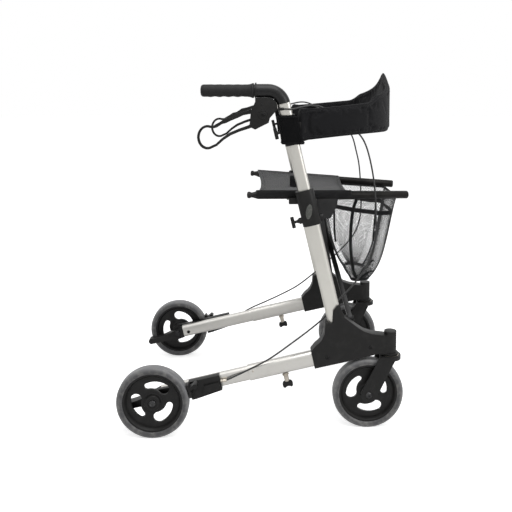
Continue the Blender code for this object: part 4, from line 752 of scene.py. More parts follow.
# The loops run ahead of the uprights, and their heights are shares of the grips' height
CABLE_TOP = [
    (-0.0613, 0.2462, 0.9481), (-0.0393, 0.2445, 0.9536),
    (-0.0143, 0.2350, 0.9581), (0.0107, 0.2215, 0.9536),
]
RIGHT_LOOP = [
    (0.0407, 0.2140, 0.9382), (0.0757, 0.2060, 0.9139), (0.1057, 0.1980, 0.8852), (0.1307, 0.1950, 0.8499),
    (0.1467, 0.1990, 0.7947), (0.1582, 0.2050, 0.7174), (0.1625, 0.2080, 0.6291), (0.1607, 0.2070, 0.5519),
    (0.1421, 0.2060, 0.4857), (0.1047, 0.2070, 0.4249), (0.0637, 0.2100, 0.3775), (0.0267, 0.2170, 0.3303),
    (-0.0143, 0.2300, 0.2965), (-0.0693, 0.2450, 0.2572),
]
LEFT_LOOP = [
    (0.0407, 0.2140, 0.9360), (0.0807, 0.2060, 0.9106), (0.1157, 0.1990, 0.8775), (0.1467, 0.1960, 0.8400),
    (0.1627, 0.2000, 0.7837), (0.1747, 0.2030, 0.7174), (0.1812, 0.2050, 0.5960), (0.1757, 0.2040, 0.5276),
    (0.1567, 0.2050, 0.4746), (0.1147, 0.2070, 0.4185), (0.0687, 0.2100, 0.3735), (0.0207, 0.2180, 0.3234),
    (-0.0293, 0.2330, 0.2759), (-0.0843, 0.2450, 0.2395),
]
RIGHT_ON_LEG = [(0.3050, 0.2500, 0.1960), (0.2500, 0.2500, 0.1670)]
LEFT_ON_LEG = [(0.2900, 0.2500, 0.1900), (0.2450, 0.2500, 0.1700)]
cable_black = finish("cable_black", (0.012, 0.012, 0.012, 1), (0.05, 0.05, 0.048, 1), 0.35, amount=0.3)


def smooth_between(a, b, c, d, t):
    """A value from b to c on a smooth curve that also follows a and d."""
    bend = (2 * a - 5 * b + 4 * c - d) * t * t + (3 * b - a - 3 * c + d) * t ** 3
    return (2 * b + (c - a) * t + bend) / 2


def smooth_route(points, count):
    """Evenly numbered points on a smooth curve through given ones."""
    line = [Vector(p) for p in points]
    line = [2 * line[0] - line[1]] + line + [2 * line[-1] - line[-2]]
    spans = len(points) - 1
    route = []
    for i in range(count + 1):
        place = min(i * spans / count, spans - 1e-9)
        k = int(place)
        route.append(smooth_between(*line[k:k + 4], place - k))
    return route


for (side_name, side), loop, on_leg in zip(SIDES, (RIGHT_LOOP, LEFT_LOOP), (RIGHT_ON_LEG, LEFT_ON_LEG)):
    high = [(UPRIGHT_X + ahead, y, share * GRIP_Z) for ahead, y, share in CABLE_TOP + loop]
    points = CABLE_FROM + high + on_leg
    for x, y, over in CABLE_FOOT:
        foot = leg_frame(x, 0, over).translation
        points.append((foot.x - AXLE_X, y, foot.z))
    path = [at(x, side * y, z) for x, y, z in smooth_route(points, 220)]
    name = side_name + "_cable_sleeve"
    sleeve = fit(name, tube_along(path, CABLE_R, 3), cable_black, None, "cable", side_name + "_brake_cable")
    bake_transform(sleeve)
    for word, here, there, radius, material, body, slot in (
        ("ferrule", path[-1], path[-6], 0.0042, plated, "_frame", "steel"),
        ("barrel", path[0], path[3], 0.0036, black_moulding, "_handle", "moulding"),
    ):
        stand = Matrix.Translation(here) @ (there - here).to_track_quat("Z", "Y").to_matrix().to_4x4()
        wall = [(-0.4, 12), (0, 11.4), (0, 5), (-0.8, 4.4), (-0.8, 3.4), (0, 2.8), (0, 0.2)]
        shape = mm([(0, 16.2), (0.9, 15.8)], CABLE_R) + mm(wall, radius) + mm([(0, 0.2)], CABLE_R)
        fit(f"{side_name}_cable_{word}", turned(shape, 24, stand), material, side_name + body, slot)

# Folding frame: two painted cross arms turn on bolts in the front brackets and on each other. Each
# carries the other side's seat rail, a dark anodised round tube with moulded end caps.
RAIL_R = 0.011
RAIL_REAR = (0.248, SIDE_Y, 0.633)
RAIL_FRONT = (0.697, 0.109, 0.613)
RAIL_RIVET_X = 0.2755
rail_grey = satin("rail_grey", (0.016, 0.0155, 0.015, 1), (0.045, 0.043, 0.041, 1), 0, 0.42)


def rail_point(x, side):
    """The seat rail's axis at x, on one side."""
    share = (x - RAIL_REAR[0]) / (RAIL_FRONT[0] - RAIL_REAR[0])
    _, y, z = (rear + share * (front - rear) for rear, front in zip(RAIL_REAR, RAIL_FRONT))
    return at(x, side * y, z)


for side_name, side in SIDES:
    rail_body = "left_arm" if side < 0 else "right_arm"
    arm = side_name + "_cross_arm"
    painted = softened(arm, 0.0012)
    fit(side_name + "_painted_arm", painted, black_paint, side_name + "_arm", "cast_black", arm)
    pivot = side_name + "_lower_pivot"
    fit(side_name + "_arm_bolt", softened(pivot, 0.0005), dark_screw, side_name + "_frame", "steel", pivot)

    start = rail_point(RAIL_REAR[0], side)
    run = rail_point(RAIL_FRONT[0], side) - start
    length = run.length
    stand = Matrix.Translation(start) @ run.to_track_quat("Z", "Y").to_matrix().to_4x4()
    tube = mm([(0, -3), (-0.3, -2.6), (-1.6, -2.6)], RAIL_R, length)
    tube = mm([(0, 30.4)], RAIL_R) + tube + mm([(-1.6, 30), (-0.3, 30)], RAIL_R)
    name = side_name + "_rail_tube"
    fit(name, turned(tube, 48, stand), rail_grey, rail_body, "rail", side_name + "_seat_rail")
    cap = [(0, 0), (6.5, -0.1), (9, -0.8), (10.3, -2.2), (10.6, -3), (9.8, -3), (9.2, -10), (0, -10)]
    caps = turned(mm(cap, 0, length), 40, stand)
    plug_end = [(0, 0), (6, 0.1), (8, 1), (8.8, 2.6), (8.8, 6.6), (8, 8.2), (7, 9), (6.8, 12), (7.2, 15)]
    plug_end += [(8.8, 20.5), (10.3, 26.2), (11, 29), (11, 29.9), (9, 29.9), (9, 40), (0, 40)]
    caps = turned(mm(plug_end), 40, stand, caps)
    fit(side_name + "_rail_caps", caps, black_moulding, rail_body, "moulding")
    outward = Vector((0, side, 0))
    rivet = rail_point(RAIL_RIVET_X, side) + outward * RAIL_R
    set_screws(side_name + "_rail_rivet", [(rivet, outward, UP)], (2.7, 0.9, 0.4), plated, rail_body)
fit("centre_bolt", softened("centre_pivot", 0.0005), dark_screw, "right_arm", "steel", "centre_pivot")

# Seat: a sheet of black woven nylon slung between the rails. It wraps over each rail and sags a
# little in its middle, its ends are hemmed, and a webbing loop on its middle pulls it up to fold.
SEAT_X = (0.283, 0.530)
SEAT_SAG = 0.016
SEAT_CURVE = 0.012
SEAT_WRAP = math.radians(205)
SEAT_INSIDE = math.radians(62)
SEAT_THICK = 0.0014
SEAT_OFF = 0.0006
SEAT_KEEP = 0.19
WRAP_STEPS = 18
SAG_STEPS = 16
COLUMNS = 44
# Rows of the painted shade band over each rail's wrap
SHADE_BAND_ROWS = 13
LOOP_X = 0.3802
SQUASH_AT = at(0.43, -0.1799, 0.62)

# Woven cloth: a plain weave over a surface whose UV map is in metres
results = {"Normal": "Vector", "Shade": 0}
woven, entry, leave = new_group("Shader", "plain_weave", {"Pitch": 0.0008, "Depth": 0.3}, results)
uv = add_node(woven, "ShaderNodeUVMap")
rate = add_node(woven, "ShaderNodeMath", {"operation": "DIVIDE"}, _0=math.tau, _1=entry["Pitch"])
phase = add_node(woven, "ShaderNodeVectorMath", {"operation": "SCALE"}, _0=uv, Scale=rate)
split = add_node(woven, "ShaderNodeSeparateXYZ", _0=phase).outputs
warp, weft = (add_node(woven, "ShaderNodeMath", {"operation": "SINE"}, _0=split[k]) for k in (0, 1))
weave = add_node(woven, "ShaderNodeMath", {"operation": "MULTIPLY"}, _0=warp, _1=weft)
relief = add_node(woven, "ShaderNodeBump", Height=weave, Strength=entry["Depth"], Distance=0.0002)
shade = add_node(woven, "ShaderNodeMapRange", Value=weave, From_Min=-1, From_Max=1, To_Min=0.7, To_Max=1)
plug(woven, leave, Normal=relief, Shade=shade)


def cloth(name, colour, worn, pitch=0.0008, roughness=0.78, sheen=0.25):
    """A woven fabric: threads shade its colour, and handling leaves it slightly paler."""
    looks = {"Roughness": roughness, "Sheen_Weight": sheen, "Specular_IOR_Level": 0.2}
    material, tree, shader = new_material(name, **looks)
    used = add_node(tree, "ShaderNodeGroup", {"node_tree": marks}, Scale=9, Amount=0.6)
    threads = add_node(tree, "ShaderNodeGroup", {"node_tree": woven}, Pitch=pitch, Depth=0.4).outputs
    dim = mixed(tree, 1, mixed(tree, used, colour, worn), threads["Shade"], "MULTIPLY")
    plug(tree, shader, Base_Color=dim, Normal=threads["Normal"])
    return material


def running_sum(points):
    """How far along a line of points each one lies."""
    sums = [0.0]
    for a, b in zip(points, points[1:]):
        sums.append(sums[-1] + (b - a).length)
    return sums


def sheet_mesh(name, point, columns, rows, thickness):
    """A cloth mesh through point(i, j), with a UV map in metres, and its flat size."""
    bm = bmesh.new()
    uv = bm.loops.layers.uv.new("metres")
    grid = [[bm.verts.new(point(i, j)) for j in range(rows + 1)] for i in range(columns + 1)]
    lengthwise = running_sum([line[rows // 2].co for line in grid])
    across = running_sum([vert.co for vert in grid[columns // 2]])
    for i in range(columns):
        for j in range(rows):
            corners = ((i, j), (i + 1, j), (i + 1, j + 1), (i, j + 1))
            face = bm.faces.new([grid[a][b] for a, b in corners])
            for loop, (a, b) in zip(face.loops, corners):
                loop[uv].uv = (lengthwise[a], across[b])
    bmesh.ops.solidify(bm, geom=bm.faces, thickness=thickness)
    return smooth_mesh(bm, name, 50), (lengthwise[-1], across[-1])


def soft_fit(name, mesh, material, body, slot, keep, anchor, *nodes):
    """A soft piece that rides a body, on a mesh of its own; keep and anchor are not used."""
    piece = fit(name, mesh, material, body, slot, *nodes)
    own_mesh(piece)
    return piece


def seam_spots(line, normal, pitch=0.0036):
    """Places for stitches along a line of points: each with the way the seam faces and runs."""
    spots = []
    left = pitch / 2
    for a, b in zip(line, line[1:]):
        run = (b - a).length
        while left < run:
            spots.append((a.lerp(b, left / run), normal, (b - a).normalized()))
            left += pitch
        left -= run
    return spots


def sew(name, spots, material, body, slot):
    """A row of stitches at spots, each 2.4 mm long and pulled down at its ends."""
    bow = mm([(-1.2, -0.3), (-0.8, 0.2), (0.8, 0.2), (1.2, -0.3)])
    stitch = [Vector((x, 0, z)) for x, z in bow]
    return set_parts(name, spots, tube_along(stitch, 0.00032, 1), material, body, slot)


seat_cloth = cloth("seat_cloth", (0.077, 0.077, 0.080, 1), (0.105, 0.105, 0.107, 1), sheen=0.4)
black_cloth = cloth("black_cloth", (0.020, 0.020, 0.021, 1), (0.040, 0.040, 0.041, 1), 0.0008, 0.9, 0.15)
thread = finish("thread", (0.035, 0.035, 0.036, 1), (0.09, 0.09, 0.09, 1), 0.6, amount=0.3)


def seat_section(x, lift=0.0):
    """The seat's line across the rollator at x: under one rail, over it, down the sag and to the other."""
    radius = RAIL_R + SEAT_OFF + lift
    pull = SEAT_CURVE * max(0, 1 - (x - SEAT_X[0]) / 0.06) ** 1.5
    rail = rail_point(x - pull, -1)
    half = [Vector((rail.x, y, z)) for y, z in arc(rail.yz, radius, SEAT_WRAP, SEAT_INSIDE, WRAP_STEPS)]
    edge = half[-1]
    for k in range(1, SAG_STEPS + 1):
        share = k / SAG_STEPS
        ease = (1 - (1 - share) ** 2.6) * SEAT_SAG
        taut = edge.z - ease * (1 + 0.03 * math.sin(9 * share + 40 * x))
        half.append(Vector((rail.x + pull * (1 - (1 - share) ** 2), edge.y * (1 - share), taut)))
    return half + [Vector((p.x, -p.y, p.z)) for p in half[-2::-1]]


def seat_sections(low, high, steps, lift=0.0):
    """Sections of the seat at even steps."""
    return [seat_section(low + (high - low) * i / steps, lift) for i in range(steps + 1)]


def seat_band(name, sections, rows, material):
    """A band of cloth sewn on the seat, along its sections."""
    mesh, _ = sheet_mesh(name, lambda i, j: sections[i][j], len(sections) - 1, rows, 0.0008)
    soft_fit(name, mesh, material, "seat", "fabric", SEAT_KEEP, SQUASH_AT)


def seat_seam(name, spots):
    """A seam of the seat's thread."""
    sewn = sew(name, spots, thread, "seat", "fabric")
    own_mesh(sewn)


sections = seat_sections(*SEAT_X, COLUMNS)
ROWS = len(sections[0]) - 1
seat_mesh, seat_flat = sheet_mesh("seat_sheet", lambda i, j: sections[i][j], COLUMNS, ROWS, SEAT_THICK)
seat = soft_fit("seat_sheet", seat_mesh, seat_cloth, "seat", "fabric", SEAT_KEEP, SQUASH_AT, "seat_fabric")
for word, low, high in (("rear", 0.2825, 0.2960), ("front", 0.5170, 0.5305)):
    seat_band(f"seat_{word}_hem", seat_sections(low, high, 4, 0.0010), ROWS, seat_cloth)
    spots = []
    for x in (low + 0.003, high - 0.003):
        line = [p + Vector((0, 0, 0.0005)) for p in seat_section(x, 0.0018)[WRAP_STEPS:-WRAP_STEPS]]
        spots += seam_spots(line, UP)
    seat_seam(f"seat_{word}_stitches", spots)
# Painted shade: a band of black cloth over the outer, lower part of each rail's wrap, where the seat's side
# is in shade
for side_name, way in (("right", 1), ("left", -1)):
    strips = [section[::way] for section in seat_sections(*SEAT_X, COLUMNS, 0.0019)]
    seat_band(f"seat_{side_name}_binding", strips, SHADE_BAND_ROWS, black_cloth)
spots = []
for side_name, side in SIDES:
    for inward in (0.0055, 0.0085):
        line = []
        for section in seat_sections(SEAT_X[0] + 0.018, SEAT_X[1] - 0.018, 12):
            edge = section[WRAP_STEPS]
            line.append(Vector((edge.x, side * (abs(edge.y) - inward), edge.z + 0.0004 - inward * 0.28)))
        spots += seam_spots(line, UP)
seat_seam("seat_sleeve_stitches", spots)

# The pull loop: a doubled webbing handle sewn on the middle of the seat
middle = seat_section(LOOP_X)[ROWS // 2]
foot = mm([(30, -0.6), (15, -0.2)])
arch = foot + arc((0, 0.0120), 0.0100, -0.35, math.pi + 0.35, WRAP_STEPS) + [(-y, z) for y, z in foot[::-1]]
lines = [[middle + Vector((0.0040 * j, y, z * 1.5)) for j in range(-3, 4)] for y, z in arch]
mesh, _ = sheet_mesh("pull_loop", lambda i, j: lines[i][j], len(arch) - 1, 6, 0.0012)
soft_fit("pull_loop", mesh, black_cloth, "seat", "fabric", SEAT_KEEP, SQUASH_AT)

# Basket: an open bag of knotted net that hangs from the rails' front halves. Webbing tapes are sewn
# round its rim, in a band below it, along its seams and round its bottom, which is net as well.
BASKET_REAR_X = 0.472
BASKET_FRONT_X = 0.674
BASKET_CORNER = 0.015
RIM_DROP = 0.0084
NET_STEP = 0.0042 * math.sqrt(2)
NET_THREAD_R = 0.00040
NET_SLACK = 0.0035
BOTTOM_SAG = 0.004
BASKET_KEEP = 0.13
ROUND = 120
SEAM_STEPS = 24
STITCHED_WIDTH = 0.0058
TAPE_THICK = 0.0011
TAPE_PITCH = 0.0040
basket_rear = rail_point(BASKET_REAR_X + BASKET_CORNER, 1)
basket_front = rail_point(BASKET_FRONT_X - BASKET_CORNER, 1)
# Rear and front X, half widths at the rear and front, and rear and front heights, from rim to bottom
LEVELS = [
    (0.4700, 0.6670, basket_rear.y - RIM_DROP, basket_front.y - RIM_DROP,
     basket_rear.z - RIM_DROP, basket_front.z - RIM_DROP),
    (0.4695, 0.6585, 0.1520, 0.1060, 0.5700, 0.5700),
    (0.4830, 0.6420, 0.1350, 0.1010, 0.4900, 0.4900),
    (0.5050, 0.6265, 0.1150, 0.0960, 0.4280, 0.4280),
    (0.5240, 0.6110, 0.1000, 0.0880, 0.3880, 0.3880),
    (0.5440, 0.5940, 0.0920, 0.0820, 0.3615, 0.3615),
]
# Seams: where each starts and ends down the bag, where it starts and ends round it, and its width
SEAMS = [
    ("rear_right", 0.02, 0.42, 0.116, 0.104, 0.006), ("middle_right", 0.02, 1.0, 0.212, 0.138, 0.009),
    ("front_right", 0.02, 0.43, 0.295, 0.322, 0.006), ("brace_right", 0.62, 1.0, 0.352, 0.160, 0.005),
    ("lower_right", 0.80, 1.0, 0.378, 0.190, 0.005), ("corner_right", 0.02, 1.0, 0.386, 0.386, 0.0045),
    ("corner_left", 0.02, 1.0, 0.614, 0.614, 0.0045),
]
# The share of a half round at each point of its path, past the two corners
BREAKS = (0, 0.190, 0.200, 0.210, 0.220, 0.740, 0.750, 0.760, 0.770, 1.0)
CORNER_TURNS = (0.52, 1.05)


def basket_level(down):
    """The bag's six sizes at a share of its depth, smoothly between the levels."""
    last = len(LEVELS) - 1
    place = min(max(down, 0) * last, last - 1e-6)
    k = int(place)
    rows = [LEVELS[min(max(k + n, 0), last)] for n in (-1, 0, 1, 2)]
    return [smooth_between(*sizes, place - k) for sizes in zip(*rows)]


def basket_point(around, down, lift=0.0):
    """A point on the bag: around 0 to 1 from the rear's middle past the right side, down 0 to 1."""
    rear_x, front_x, rear_y, front_y, rear_z, front_z = basket_level(down)
    around %= 1.0
    halves = []
    for x, y, corner in ((rear_x, rear_y, BASKET_CORNER), (front_x, front_y, -BASKET_CORNER)):
        half = [(x, 0), (x, BASKET_CORNER - y)]
        for turn in CORNER_TURNS:
            half.append((x + corner * (1 - math.cos(turn)), BASKET_CORNER * (1 - math.sin(turn)) - y))
        halves.append(half + [(x + corner, -y)])
    path = halves[0] + halves[1][::-1]
    mirrored = around > 0.5
    share = (1 - around if mirrored else around) * 2
    k = max(i for i in range(len(BREAKS) - 1) if BREAKS[i] <= min(share, 0.99999))
    t = (share - BREAKS[k]) / (BREAKS[k + 1] - BREAKS[k])
    x, y = (a + (b - a) * t for a, b in zip(path[k], path[k + 1]))
    out = Vector((x - (rear_x + front_x) / 2, y, 0)).normalized()
    waves = math.sin(5 * math.tau * around + 2.5 * down)
    slack = NET_SLACK * math.sin(math.pi * min(max(down, 0), 1)) * waves
    x += out.x * (lift + slack)
    y += out.y * (lift + slack)
    z = rear_z + (front_z - rear_z) * (x - rear_x) / (front_x - rear_x)
    return at(x, -y if mirrored else y, z)


# The net's threads are swept along a cloud of slanted lines by a geometry tree
sockets = {"Lines": "Geometry", "Radius": 0, "Material": "Material"}
sweeper, entry, leave = new_group("Geometry", "threads_on_lines", sockets, {"Geometry": "Geometry"})
lines = add_node(sweeper, "GeometryNodeMeshToCurve", _0=entry["Lines"])
ring = add_node(sweeper, "GeometryNodeCurvePrimitiveCircle", Resolution=3, Radius=entry["Radius"])
threads = add_node(sweeper, "GeometryNodeCurveToMesh", Curve=lines, Profile_Curve=ring)
real = add_node(sweeper, "GeometryNodeRealizeInstances", Geometry=threads)
painted = add_node(sweeper, "GeometryNodeSetMaterial", Geometry=real, Material=entry["Material"])
plug(sweeper, leave, Geometry=painted)
net_cord = finish("net_cord", (0.028, 0.028, 0.029, 1), (0.06, 0.06, 0.06, 1), 0.8, amount=0.3)


def knot_net(name, lines):
    """A net of threads along lines of points, on the basket."""
    verts = [point for line in lines for point in line]
    edges = []
    for line in lines:
        first = edges[-1][1] + 1 if edges else 0
        edges += [(first + i, first + i + 1) for i in range(len(line) - 1)]
    base = bpy.data.meshes.new(name)
    base.from_pydata(verts, edges, [])
    mesh = baked(name, base, sweeper, {"Radius": NET_THREAD_R, "Material": net_cord})
    return fit(name, mesh, net_cord, "basket", "net")


rim_length = running_sum([basket_point(i / 60, 0.3) for i in range(61)])[-1]
depth_length = running_sum([basket_point(0.3, i / 20) for i in range(21)])[-1]
columns = round(rim_length / NET_STEP)
rises = 2 * round(depth_length / NET_STEP)
net = knot_net("basket_net", [
    [basket_point((k + way * i / 2) / columns, 0.012 + 0.985 * i / rises) for i in range(rises + 1)]
    for way in (-1, 1) for k in range(columns)
])
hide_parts("basket")
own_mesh(net)


def tape(name, spine, width, lift=0.0012, stitched=True):
    """A webbing tape on the bag along (around, down) points, with a row of stitches by each edge."""
    line = [basket_point(*spot, lift) for spot in spine]
    out = [basket_point(*spot, lift + 0.01) - here for spot, here in zip(spine, line)]
    sides = []
    for i, facing in enumerate(out):
        run = (line[min(i + 1, len(line) - 1)] - line[max(i - 1, 0)]).normalized()
        sides.append(run.cross(facing).normalized() * width / 2)
    mesh, _ = sheet_mesh(name, lambda i, j: line[i] + sides[i] * (j - 1), len(line) - 1, 2, TAPE_THICK)
    made = soft_fit(name, mesh, black_cloth, "basket", "net", BASKET_KEEP, SQUASH_AT)
    if stitched:
        spots = []
        for way in (-0.72, 0.72):
            row = [p + s * way for p, s in zip(line, sides)]
            for a, b, facing in zip(row, row[1:], out):
                seam = [a + facing * 0.06, b + facing * 0.06]
                spots += seam_spots(seam, facing.normalized(), TAPE_PITCH)
        sewn = sew(name + "_stitches", spots, thread, "basket", "net")
        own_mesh(sewn)
    return made


def band_down(around):
    """How far down the wide band lies: it drops from the rear to the front."""
    share = 2 * min(around, 1 - around)
    return 0.125 + 0.105 * min(max((share - 0.22) / 0.45, 0), 1) ** 0.7


# A tape with no depth of its own lies where the band does
for name, down, width in (("rim", 0.016, 0.008), ("band", None, 0.0125), ("bottom", 0.975, 0.009)):
    line = [(i / ROUND, down or band_down(i / ROUND)) for i in range(ROUND + 1)]
    tape(name + "_tape", line, width)
for name, top, end, around, drifted, width in SEAMS:
    shares = [i / SEAM_STEPS for i in range(SEAM_STEPS + 1)]
    line = [(around + (drifted - around) * share, top + (end - top) * share) for share in shares]
    tape(name + "_tape", line, width, 0.0014, width > STITCHED_WIDTH)

# The bottom is net too, inside the lower tape
rear_x, front_x, rear_y, front_y, low, _ = basket_level(1)
bottom_flat = (front_x - rear_x, 2 * rear_y)
bottom_columns, bottom_rows = (round(size / NET_STEP) for size in bottom_flat)


def bottom_point(along, across):
    """A point on the basket's bottom, at shares of its length and width."""
    half = rear_y + (front_y - rear_y) * along - BASKET_CORNER * max(0, abs(2 * along - 1) - 0.6) / 0.4
    sag = BOTTOM_SAG * math.sin(math.pi * along) * math.sin(math.pi * across)
    return at(rear_x + (front_x - rear_x) * along, half * (2 * across - 1), low - sag)


lines = []
for way in (-1, 1):
    for k in range(-bottom_columns, bottom_rows + bottom_columns + 1):
        steps = [i for i in range(bottom_columns + 1) if 0 <= k + way * i <= bottom_rows]
        lines.append([bottom_point(i / bottom_columns, (k + way * i) / bottom_rows) for i in steps])
bottom = knot_net("basket_bottom", [line for line in lines if len(line) > 1])
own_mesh(bottom)

# Backrest: a padded strap of black cloth that runs from stalk to stalk round the front, tallest in
# its middle. Its edges are sewn flat, and its ends go into a sewn sleeve on each stalk's clamp.
STRAP_START_X = 0.3900
STRAP_REACH_X = 0.6425
STRAP_HALF = 0.0050
STRAP_SEAM_HALF = 0.0022
STRAP_CELL = 0.005
STRAP_HEIGHT = 0.09
STRAP_ROWS = 20
STRAP_TIP = 0.012
STRAP_END_MORE = 0.0045
STRAP_END = 0.018
STRAP_EDGE = 0.012
STRAP_PITCH = 0.0033
STITCH_LIFT = 0.0002
EDGE_SEAMS = (0.0045, 0.0075)
STRAP_KEEP = 0.433
STRAP_AT = at(0.4, -SIDE_Y, 0.8)
FINE_STEPS = 4000
CROSS_SEAMS = (0.22, 0.78)
SWELL_LIMIT = 0.0030
PUFF_SETTINGS = {
    "quality": 6, "mass": 0.15, "use_pressure": True, "uniform_pressure_force": 4,
    "tension_stiffness": 12, "compression_stiffness": 12, "bending_stiffness": 0.4,
    "shrink_min": -0.06, "vertex_group_mass": "seams",
}
deep_black, rubbed_black = (0.0062, 0.0062, 0.0072, 1), (0.012, 0.012, 0.013, 1)
strap_cloth = cloth("strap_cloth", deep_black, rubbed_black, 0.0007, 0.92, 0.06)
strap_thread = finish("strap_thread", (0.017, 0.017, 0.018, 1), (0.05, 0.05, 0.05, 1), 0.6, amount=0.3)


def squarish(value):
    """A sine or cosine pushed away from 0, which squares a round outline."""
    return math.copysign(abs(value) ** 0.62, value)


def strap_place(share):
    """The strap's middle line in plan, from the right stalk round to the left."""
    turn = math.pi * share
    x = STRAP_START_X + (STRAP_REACH_X - STRAP_START_X) * abs(math.sin(turn)) ** 0.72
    return Vector((x, -SIDE_Y * squarish(math.cos(turn)), 0))


def strap_edges(x, y):
    """Heights of the strap's bottom and top edges."""
    along = max((x - STRAP_START_X) / (STRAP_REACH_X - STRAP_START_X), 0)
    bottom = 0.7768 + 0.0294 * along - 0.0117 * along ** 3
    side_top = 0.857 + 0.0240 * along ** 1.2
    aside = math.hypot(y, STRAP_TIP) - STRAP_TIP
    middle_top = 0.956 - 0.0745 * (aside / 0.2) ** 0.9
    share = min(max((0.203 - abs(y)) / 0.03, 0), 1)
    return bottom, side_top + (middle_top - side_top) * share * share * (3 - 2 * share)


fine = [strap_place(i / FINE_STEPS) for i in range(FINE_STEPS + 1)]
runs = running_sum(fine)
strap_steps = round(runs[-1] / STRAP_CELL)
strap_line = []
k = 0
for i in range(strap_steps + 1):
    while k < FINE_STEPS and runs[k] < runs[-1] * i / strap_steps - 1e-9:
        k += 1
    strap_line.append(fine[k])


def strap_point(i, up, off):
    """A point on the strap: a step along it, and shares of its height and of its thickness outwards."""
    i = min(max(i, 0), strap_steps)
    k = int(min(i, strap_steps - 1))
    here = strap_line[k].lerp(strap_line[k + 1], i - k)
    run = (strap_line[min(k + 2, strap_steps)] - strap_line[max(k - 1, 0)]).normalized()
    bottom, top = strap_edges(here.x, here.y)
    height = bottom + (top - bottom) * up
    swell = min(min(height - bottom, top - height) / STRAP_EDGE, 1)
    half = STRAP_SEAM_HALF + (STRAP_HALF - STRAP_SEAM_HALF) * math.sin(math.pi / 2 * swell)
    half += STRAP_END_MORE * max(0, 1 - min(i, strap_steps - i) * STRAP_CELL / STRAP_END)
    spot = here + Vector((run.y, -run.x, 0)) * half * off
    return at(spot.x, spot.y, height)


# The strap's two faces are gridded and joined all round, and its seams are held while it swells
bm = bmesh.new()
uv = bm.loops.layers.uv.new("metres")
rows = range(STRAP_ROWS + 1)
sides = []
for off in (1, -1):
    columns = [[strap_point(i, j / STRAP_ROWS, off) for j in rows] for i in range(strap_steps + 1)]
    sides.append([[bm.verts.new(point) for point in column] for column in columns])
front, back = sides
for i in range(strap_steps):
    for j in range(STRAP_ROWS):
        for grid, turn in zip(sides, (1, -1)):
            corners = [(i, j), (i + 1, j), (i + 1, j + 1), (i, j + 1)][::turn]
            face = bm.faces.new([grid[a][b] for a, b in corners])
            for loop, (a, b) in zip(face.loops, corners):
                loop[uv].uv = (a * STRAP_CELL, b * STRAP_HEIGHT / STRAP_ROWS)
    for j in (0, STRAP_ROWS):
        bm.faces.new((front[i][j], front[i + 1][j], back[i + 1][j], back[i][j]))
for j in range(STRAP_ROWS):
    for i in (0, strap_steps):
        bm.faces.new((front[i][j], front[i][j + 1], back[i][j + 1], back[i][j]))
bm.verts.index_update()
pinned = []
for grid in sides:
    for i, column in enumerate(grid):
        crossed = any(abs(i - strap_steps * share) < 0.6 for share in CROSS_SEAMS)
        ended = min(i, strap_steps - i) < 3
        pinned += [
            vert.index for j, vert in enumerate(column) if ended or crossed or min(j, STRAP_ROWS - j) < 2
        ]
bmesh.ops.recalc_face_normals(bm, faces=bm.faces)
strap_mesh = bpy.data.meshes.new("backrest_pad")
bm.to_mesh(strap_mesh)
bm.free()
pad = bpy.data.objects.new("backrest_pad_cloth", strap_mesh)
bpy.context.collection.objects.link(pad)
pad.vertex_groups.new(name="seams").add(pinned, 1.0, "REPLACE")
puff = pad.modifiers.new("Cloth", "CLOTH")
for key, value in PUFF_SETTINGS.items():
    setattr(puff.settings, key, value)
puff.settings.effector_weights.gravity = 0
puff.collision_settings.use_collision = False
for number in range(1, 21):
    bpy.context.scene.frame_set(number)
puffed = pad.evaluated_get(bpy.context.evaluated_depsgraph_get()).data
for vert, moved in zip(strap_mesh.vertices, puffed.vertices):
    swell = moved.co - vert.co
    if swell.length > SWELL_LIMIT:
        swell *= SWELL_LIMIT / swell.length
    vert.co += swell
bpy.context.scene.frame_set(1)
bpy.data.objects.remove(pad)
bm = bmesh.new()
bm.from_mesh(strap_mesh)
bmesh.ops.subdivide_edges(bm, edges=bm.edges, cuts=1, use_grid_fill=True, smooth=1.0)
bm.to_mesh(strap_mesh)
bm.free()
strap_mesh.shade_smooth()
strap_fit = ("right_handle", "fabric")
strap = soft_fit("backrest_pad", strap_mesh, strap_cloth, *strap_fit, STRAP_KEEP, STRAP_AT, "backrest")

spots = []
for off in (1, -1):
    for inset, edge in itertools.product(EDGE_SEAMS, (0, 1)):
        line = []
        for i in range(0, strap_steps + 1, 2):
            up = inset / (strap_point(i, 1, off).z - strap_point(i, 0, off).z)
            line.append(strap_point(i, abs(edge - up), off * 1.06))
        for a, b in zip(line, line[1:]):
            facing = (b - a).cross(Vector(UP)).normalized() * off
            lift = facing * STITCH_LIFT
            spots += seam_spots([a + lift, b + lift], facing, STRAP_PITCH)
    for share in CROSS_SEAMS:
        i = strap_steps * share
        ahead = strap_point(i + 1, 0.5, 0) - strap_point(i - 1, 0.5, 0)
        facing = ahead.cross(Vector(UP)).normalized() * off
        line = [strap_point(i, j / 12, off * 1.02) + facing * STITCH_LIFT for j in range(13)]
        spots += seam_spots(line, facing, STRAP_PITCH)
sewn = sew("backrest_stitches", spots, strap_thread, *strap_fit)
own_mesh(sewn)

# Sleeves of the same cloth wrap the clamps and the strap's ends, with turned hems above and below
SLEEVE_LOW_Z = 0.7665
SLEEVE_TALL = 0.0760
SLEEVE_X = (0.3678, 0.3529)
SLEEVE_DEEP = (0.0605, 0.0545)
SLEEVE_WIDE = 0.0310
SLEEVE_SIDES = 48
SLEEVE_ROWS = 20
HEM_AT = 0.055
HEM_HALF = 0.042
HEM_THICK = 0.0008


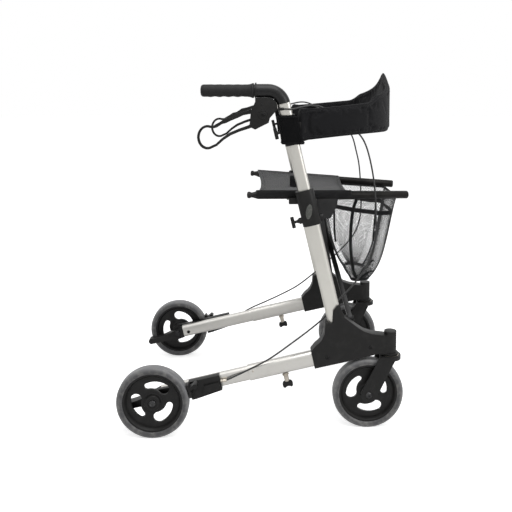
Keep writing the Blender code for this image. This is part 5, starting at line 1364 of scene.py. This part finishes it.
def sleeve_point(around, up, side, lift=0.0):
    """A point on a sleeve: a share of the way round it, and a share of its height."""
    centre, deep = (low + (high - low) * up for low, high in (SLEEVE_X, SLEEVE_DEEP))
    angle = math.tau * around
    near_end = max(abs(2 * up - 1) - 0.84, 0) / 0.16
    puff = 0.0008 * math.sin(3 * angle + 3 * up) * math.sin(math.pi * up) - 0.0012 * near_end ** 2 + lift
    x = squarish(math.cos(angle)) * (deep / 2 + puff)
    y = squarish(math.sin(angle)) * (SLEEVE_WIDE / 2 + puff)
    return at(centre + x, side * SIDE_Y + y, SLEEVE_LOW_Z + SLEEVE_TALL * up)


def sleeve_sheet(name, side, low, high, rows, lift, thickness):
    """A mesh of cloth round a sleeve between two shares of its height, and its flat size."""
    def point(i, j):
        return sleeve_point(i / SLEEVE_SIDES, low + (high - low) * j / rows, side, lift)
    return sheet_mesh(name, point, SLEEVE_SIDES, rows, thickness)


for side_name, side in SIDES:
    on_handle = (side_name + "_handle", "fabric")
    name = side_name + "_clamp_sleeve"
    mesh, flat = sleeve_sheet(name, side, 0, 1, SLEEVE_ROWS, 0, 0.0014)
    sleeve = fit(name, mesh, strap_cloth, *on_handle)
    for word, up in (("lower", HEM_AT), ("upper", 1 - HEM_AT)):
        name = f"{side_name}_sleeve_{word}_hem"
        mesh, _ = sleeve_sheet(name, side, up - HEM_HALF, up + HEM_HALF, 2, HEM_THICK, HEM_THICK)
        fit(name, mesh, strap_cloth, *on_handle)
        spots = []
        for i in range(SLEEVE_SIDES):
            a, b = (sleeve_point(k / SLEEVE_SIDES, up, side, 0.0018) for k in (i, i + 1))
            outer = sleeve_point(i / SLEEVE_SIDES, up, side, 0.01)
            spots += seam_spots([a, b], (outer - a).normalized(), STRAP_PITCH)
        sew(name + "_stitches", spots, strap_thread, *on_handle)

# Badge: a bare oval plate set in each collar's outer face, in satin grey with a raised black rim
BADGE_X = 0.4092
BADGE_Z = 0.5905
grey, rubbed = (0.075, 0.078, 0.072, 1), (0.16, 0.16, 0.15, 1)
badge_grey = finish("badge_grey", grey, rubbed, 0.42, 0.6, marks_scale=260, amount=0.8)
for side_name, side in SIDES:
    face = max(abs(corner.y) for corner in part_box(side_name + "_collar"))
    stand = Matrix.Translation(at(BADGE_X, side * (face + 0.0002), BADGE_Z))
    stand @= Matrix.Rotation(-side * math.pi / 2, 4, "X") @ Matrix.Rotation(side * LEAN * 0.6, 4, "Z")
    for word, wide, tall, thick, material in (
        ("plate", 0.0165, 0.0400, 0.0012, badge_grey), ("rim", 0.0205, 0.0440, 0.0016, black_moulding),
    ):
        turns = [k * math.tau / 64 for k in range(64)]
        outlines = [[(math.cos(turn) * wide / 2, math.sin(turn) * tall / 2) for turn in turns]]
        if word == "rim":
            outlines.append([(x * 0.80, y * 0.905) for x, y in outlines[0]])
        bm = plate(outlines, thick, 0.0003, stand)
        fit(f"{side_name}_badge_{word}", bm, material, side_name + "_frame", "moulding")
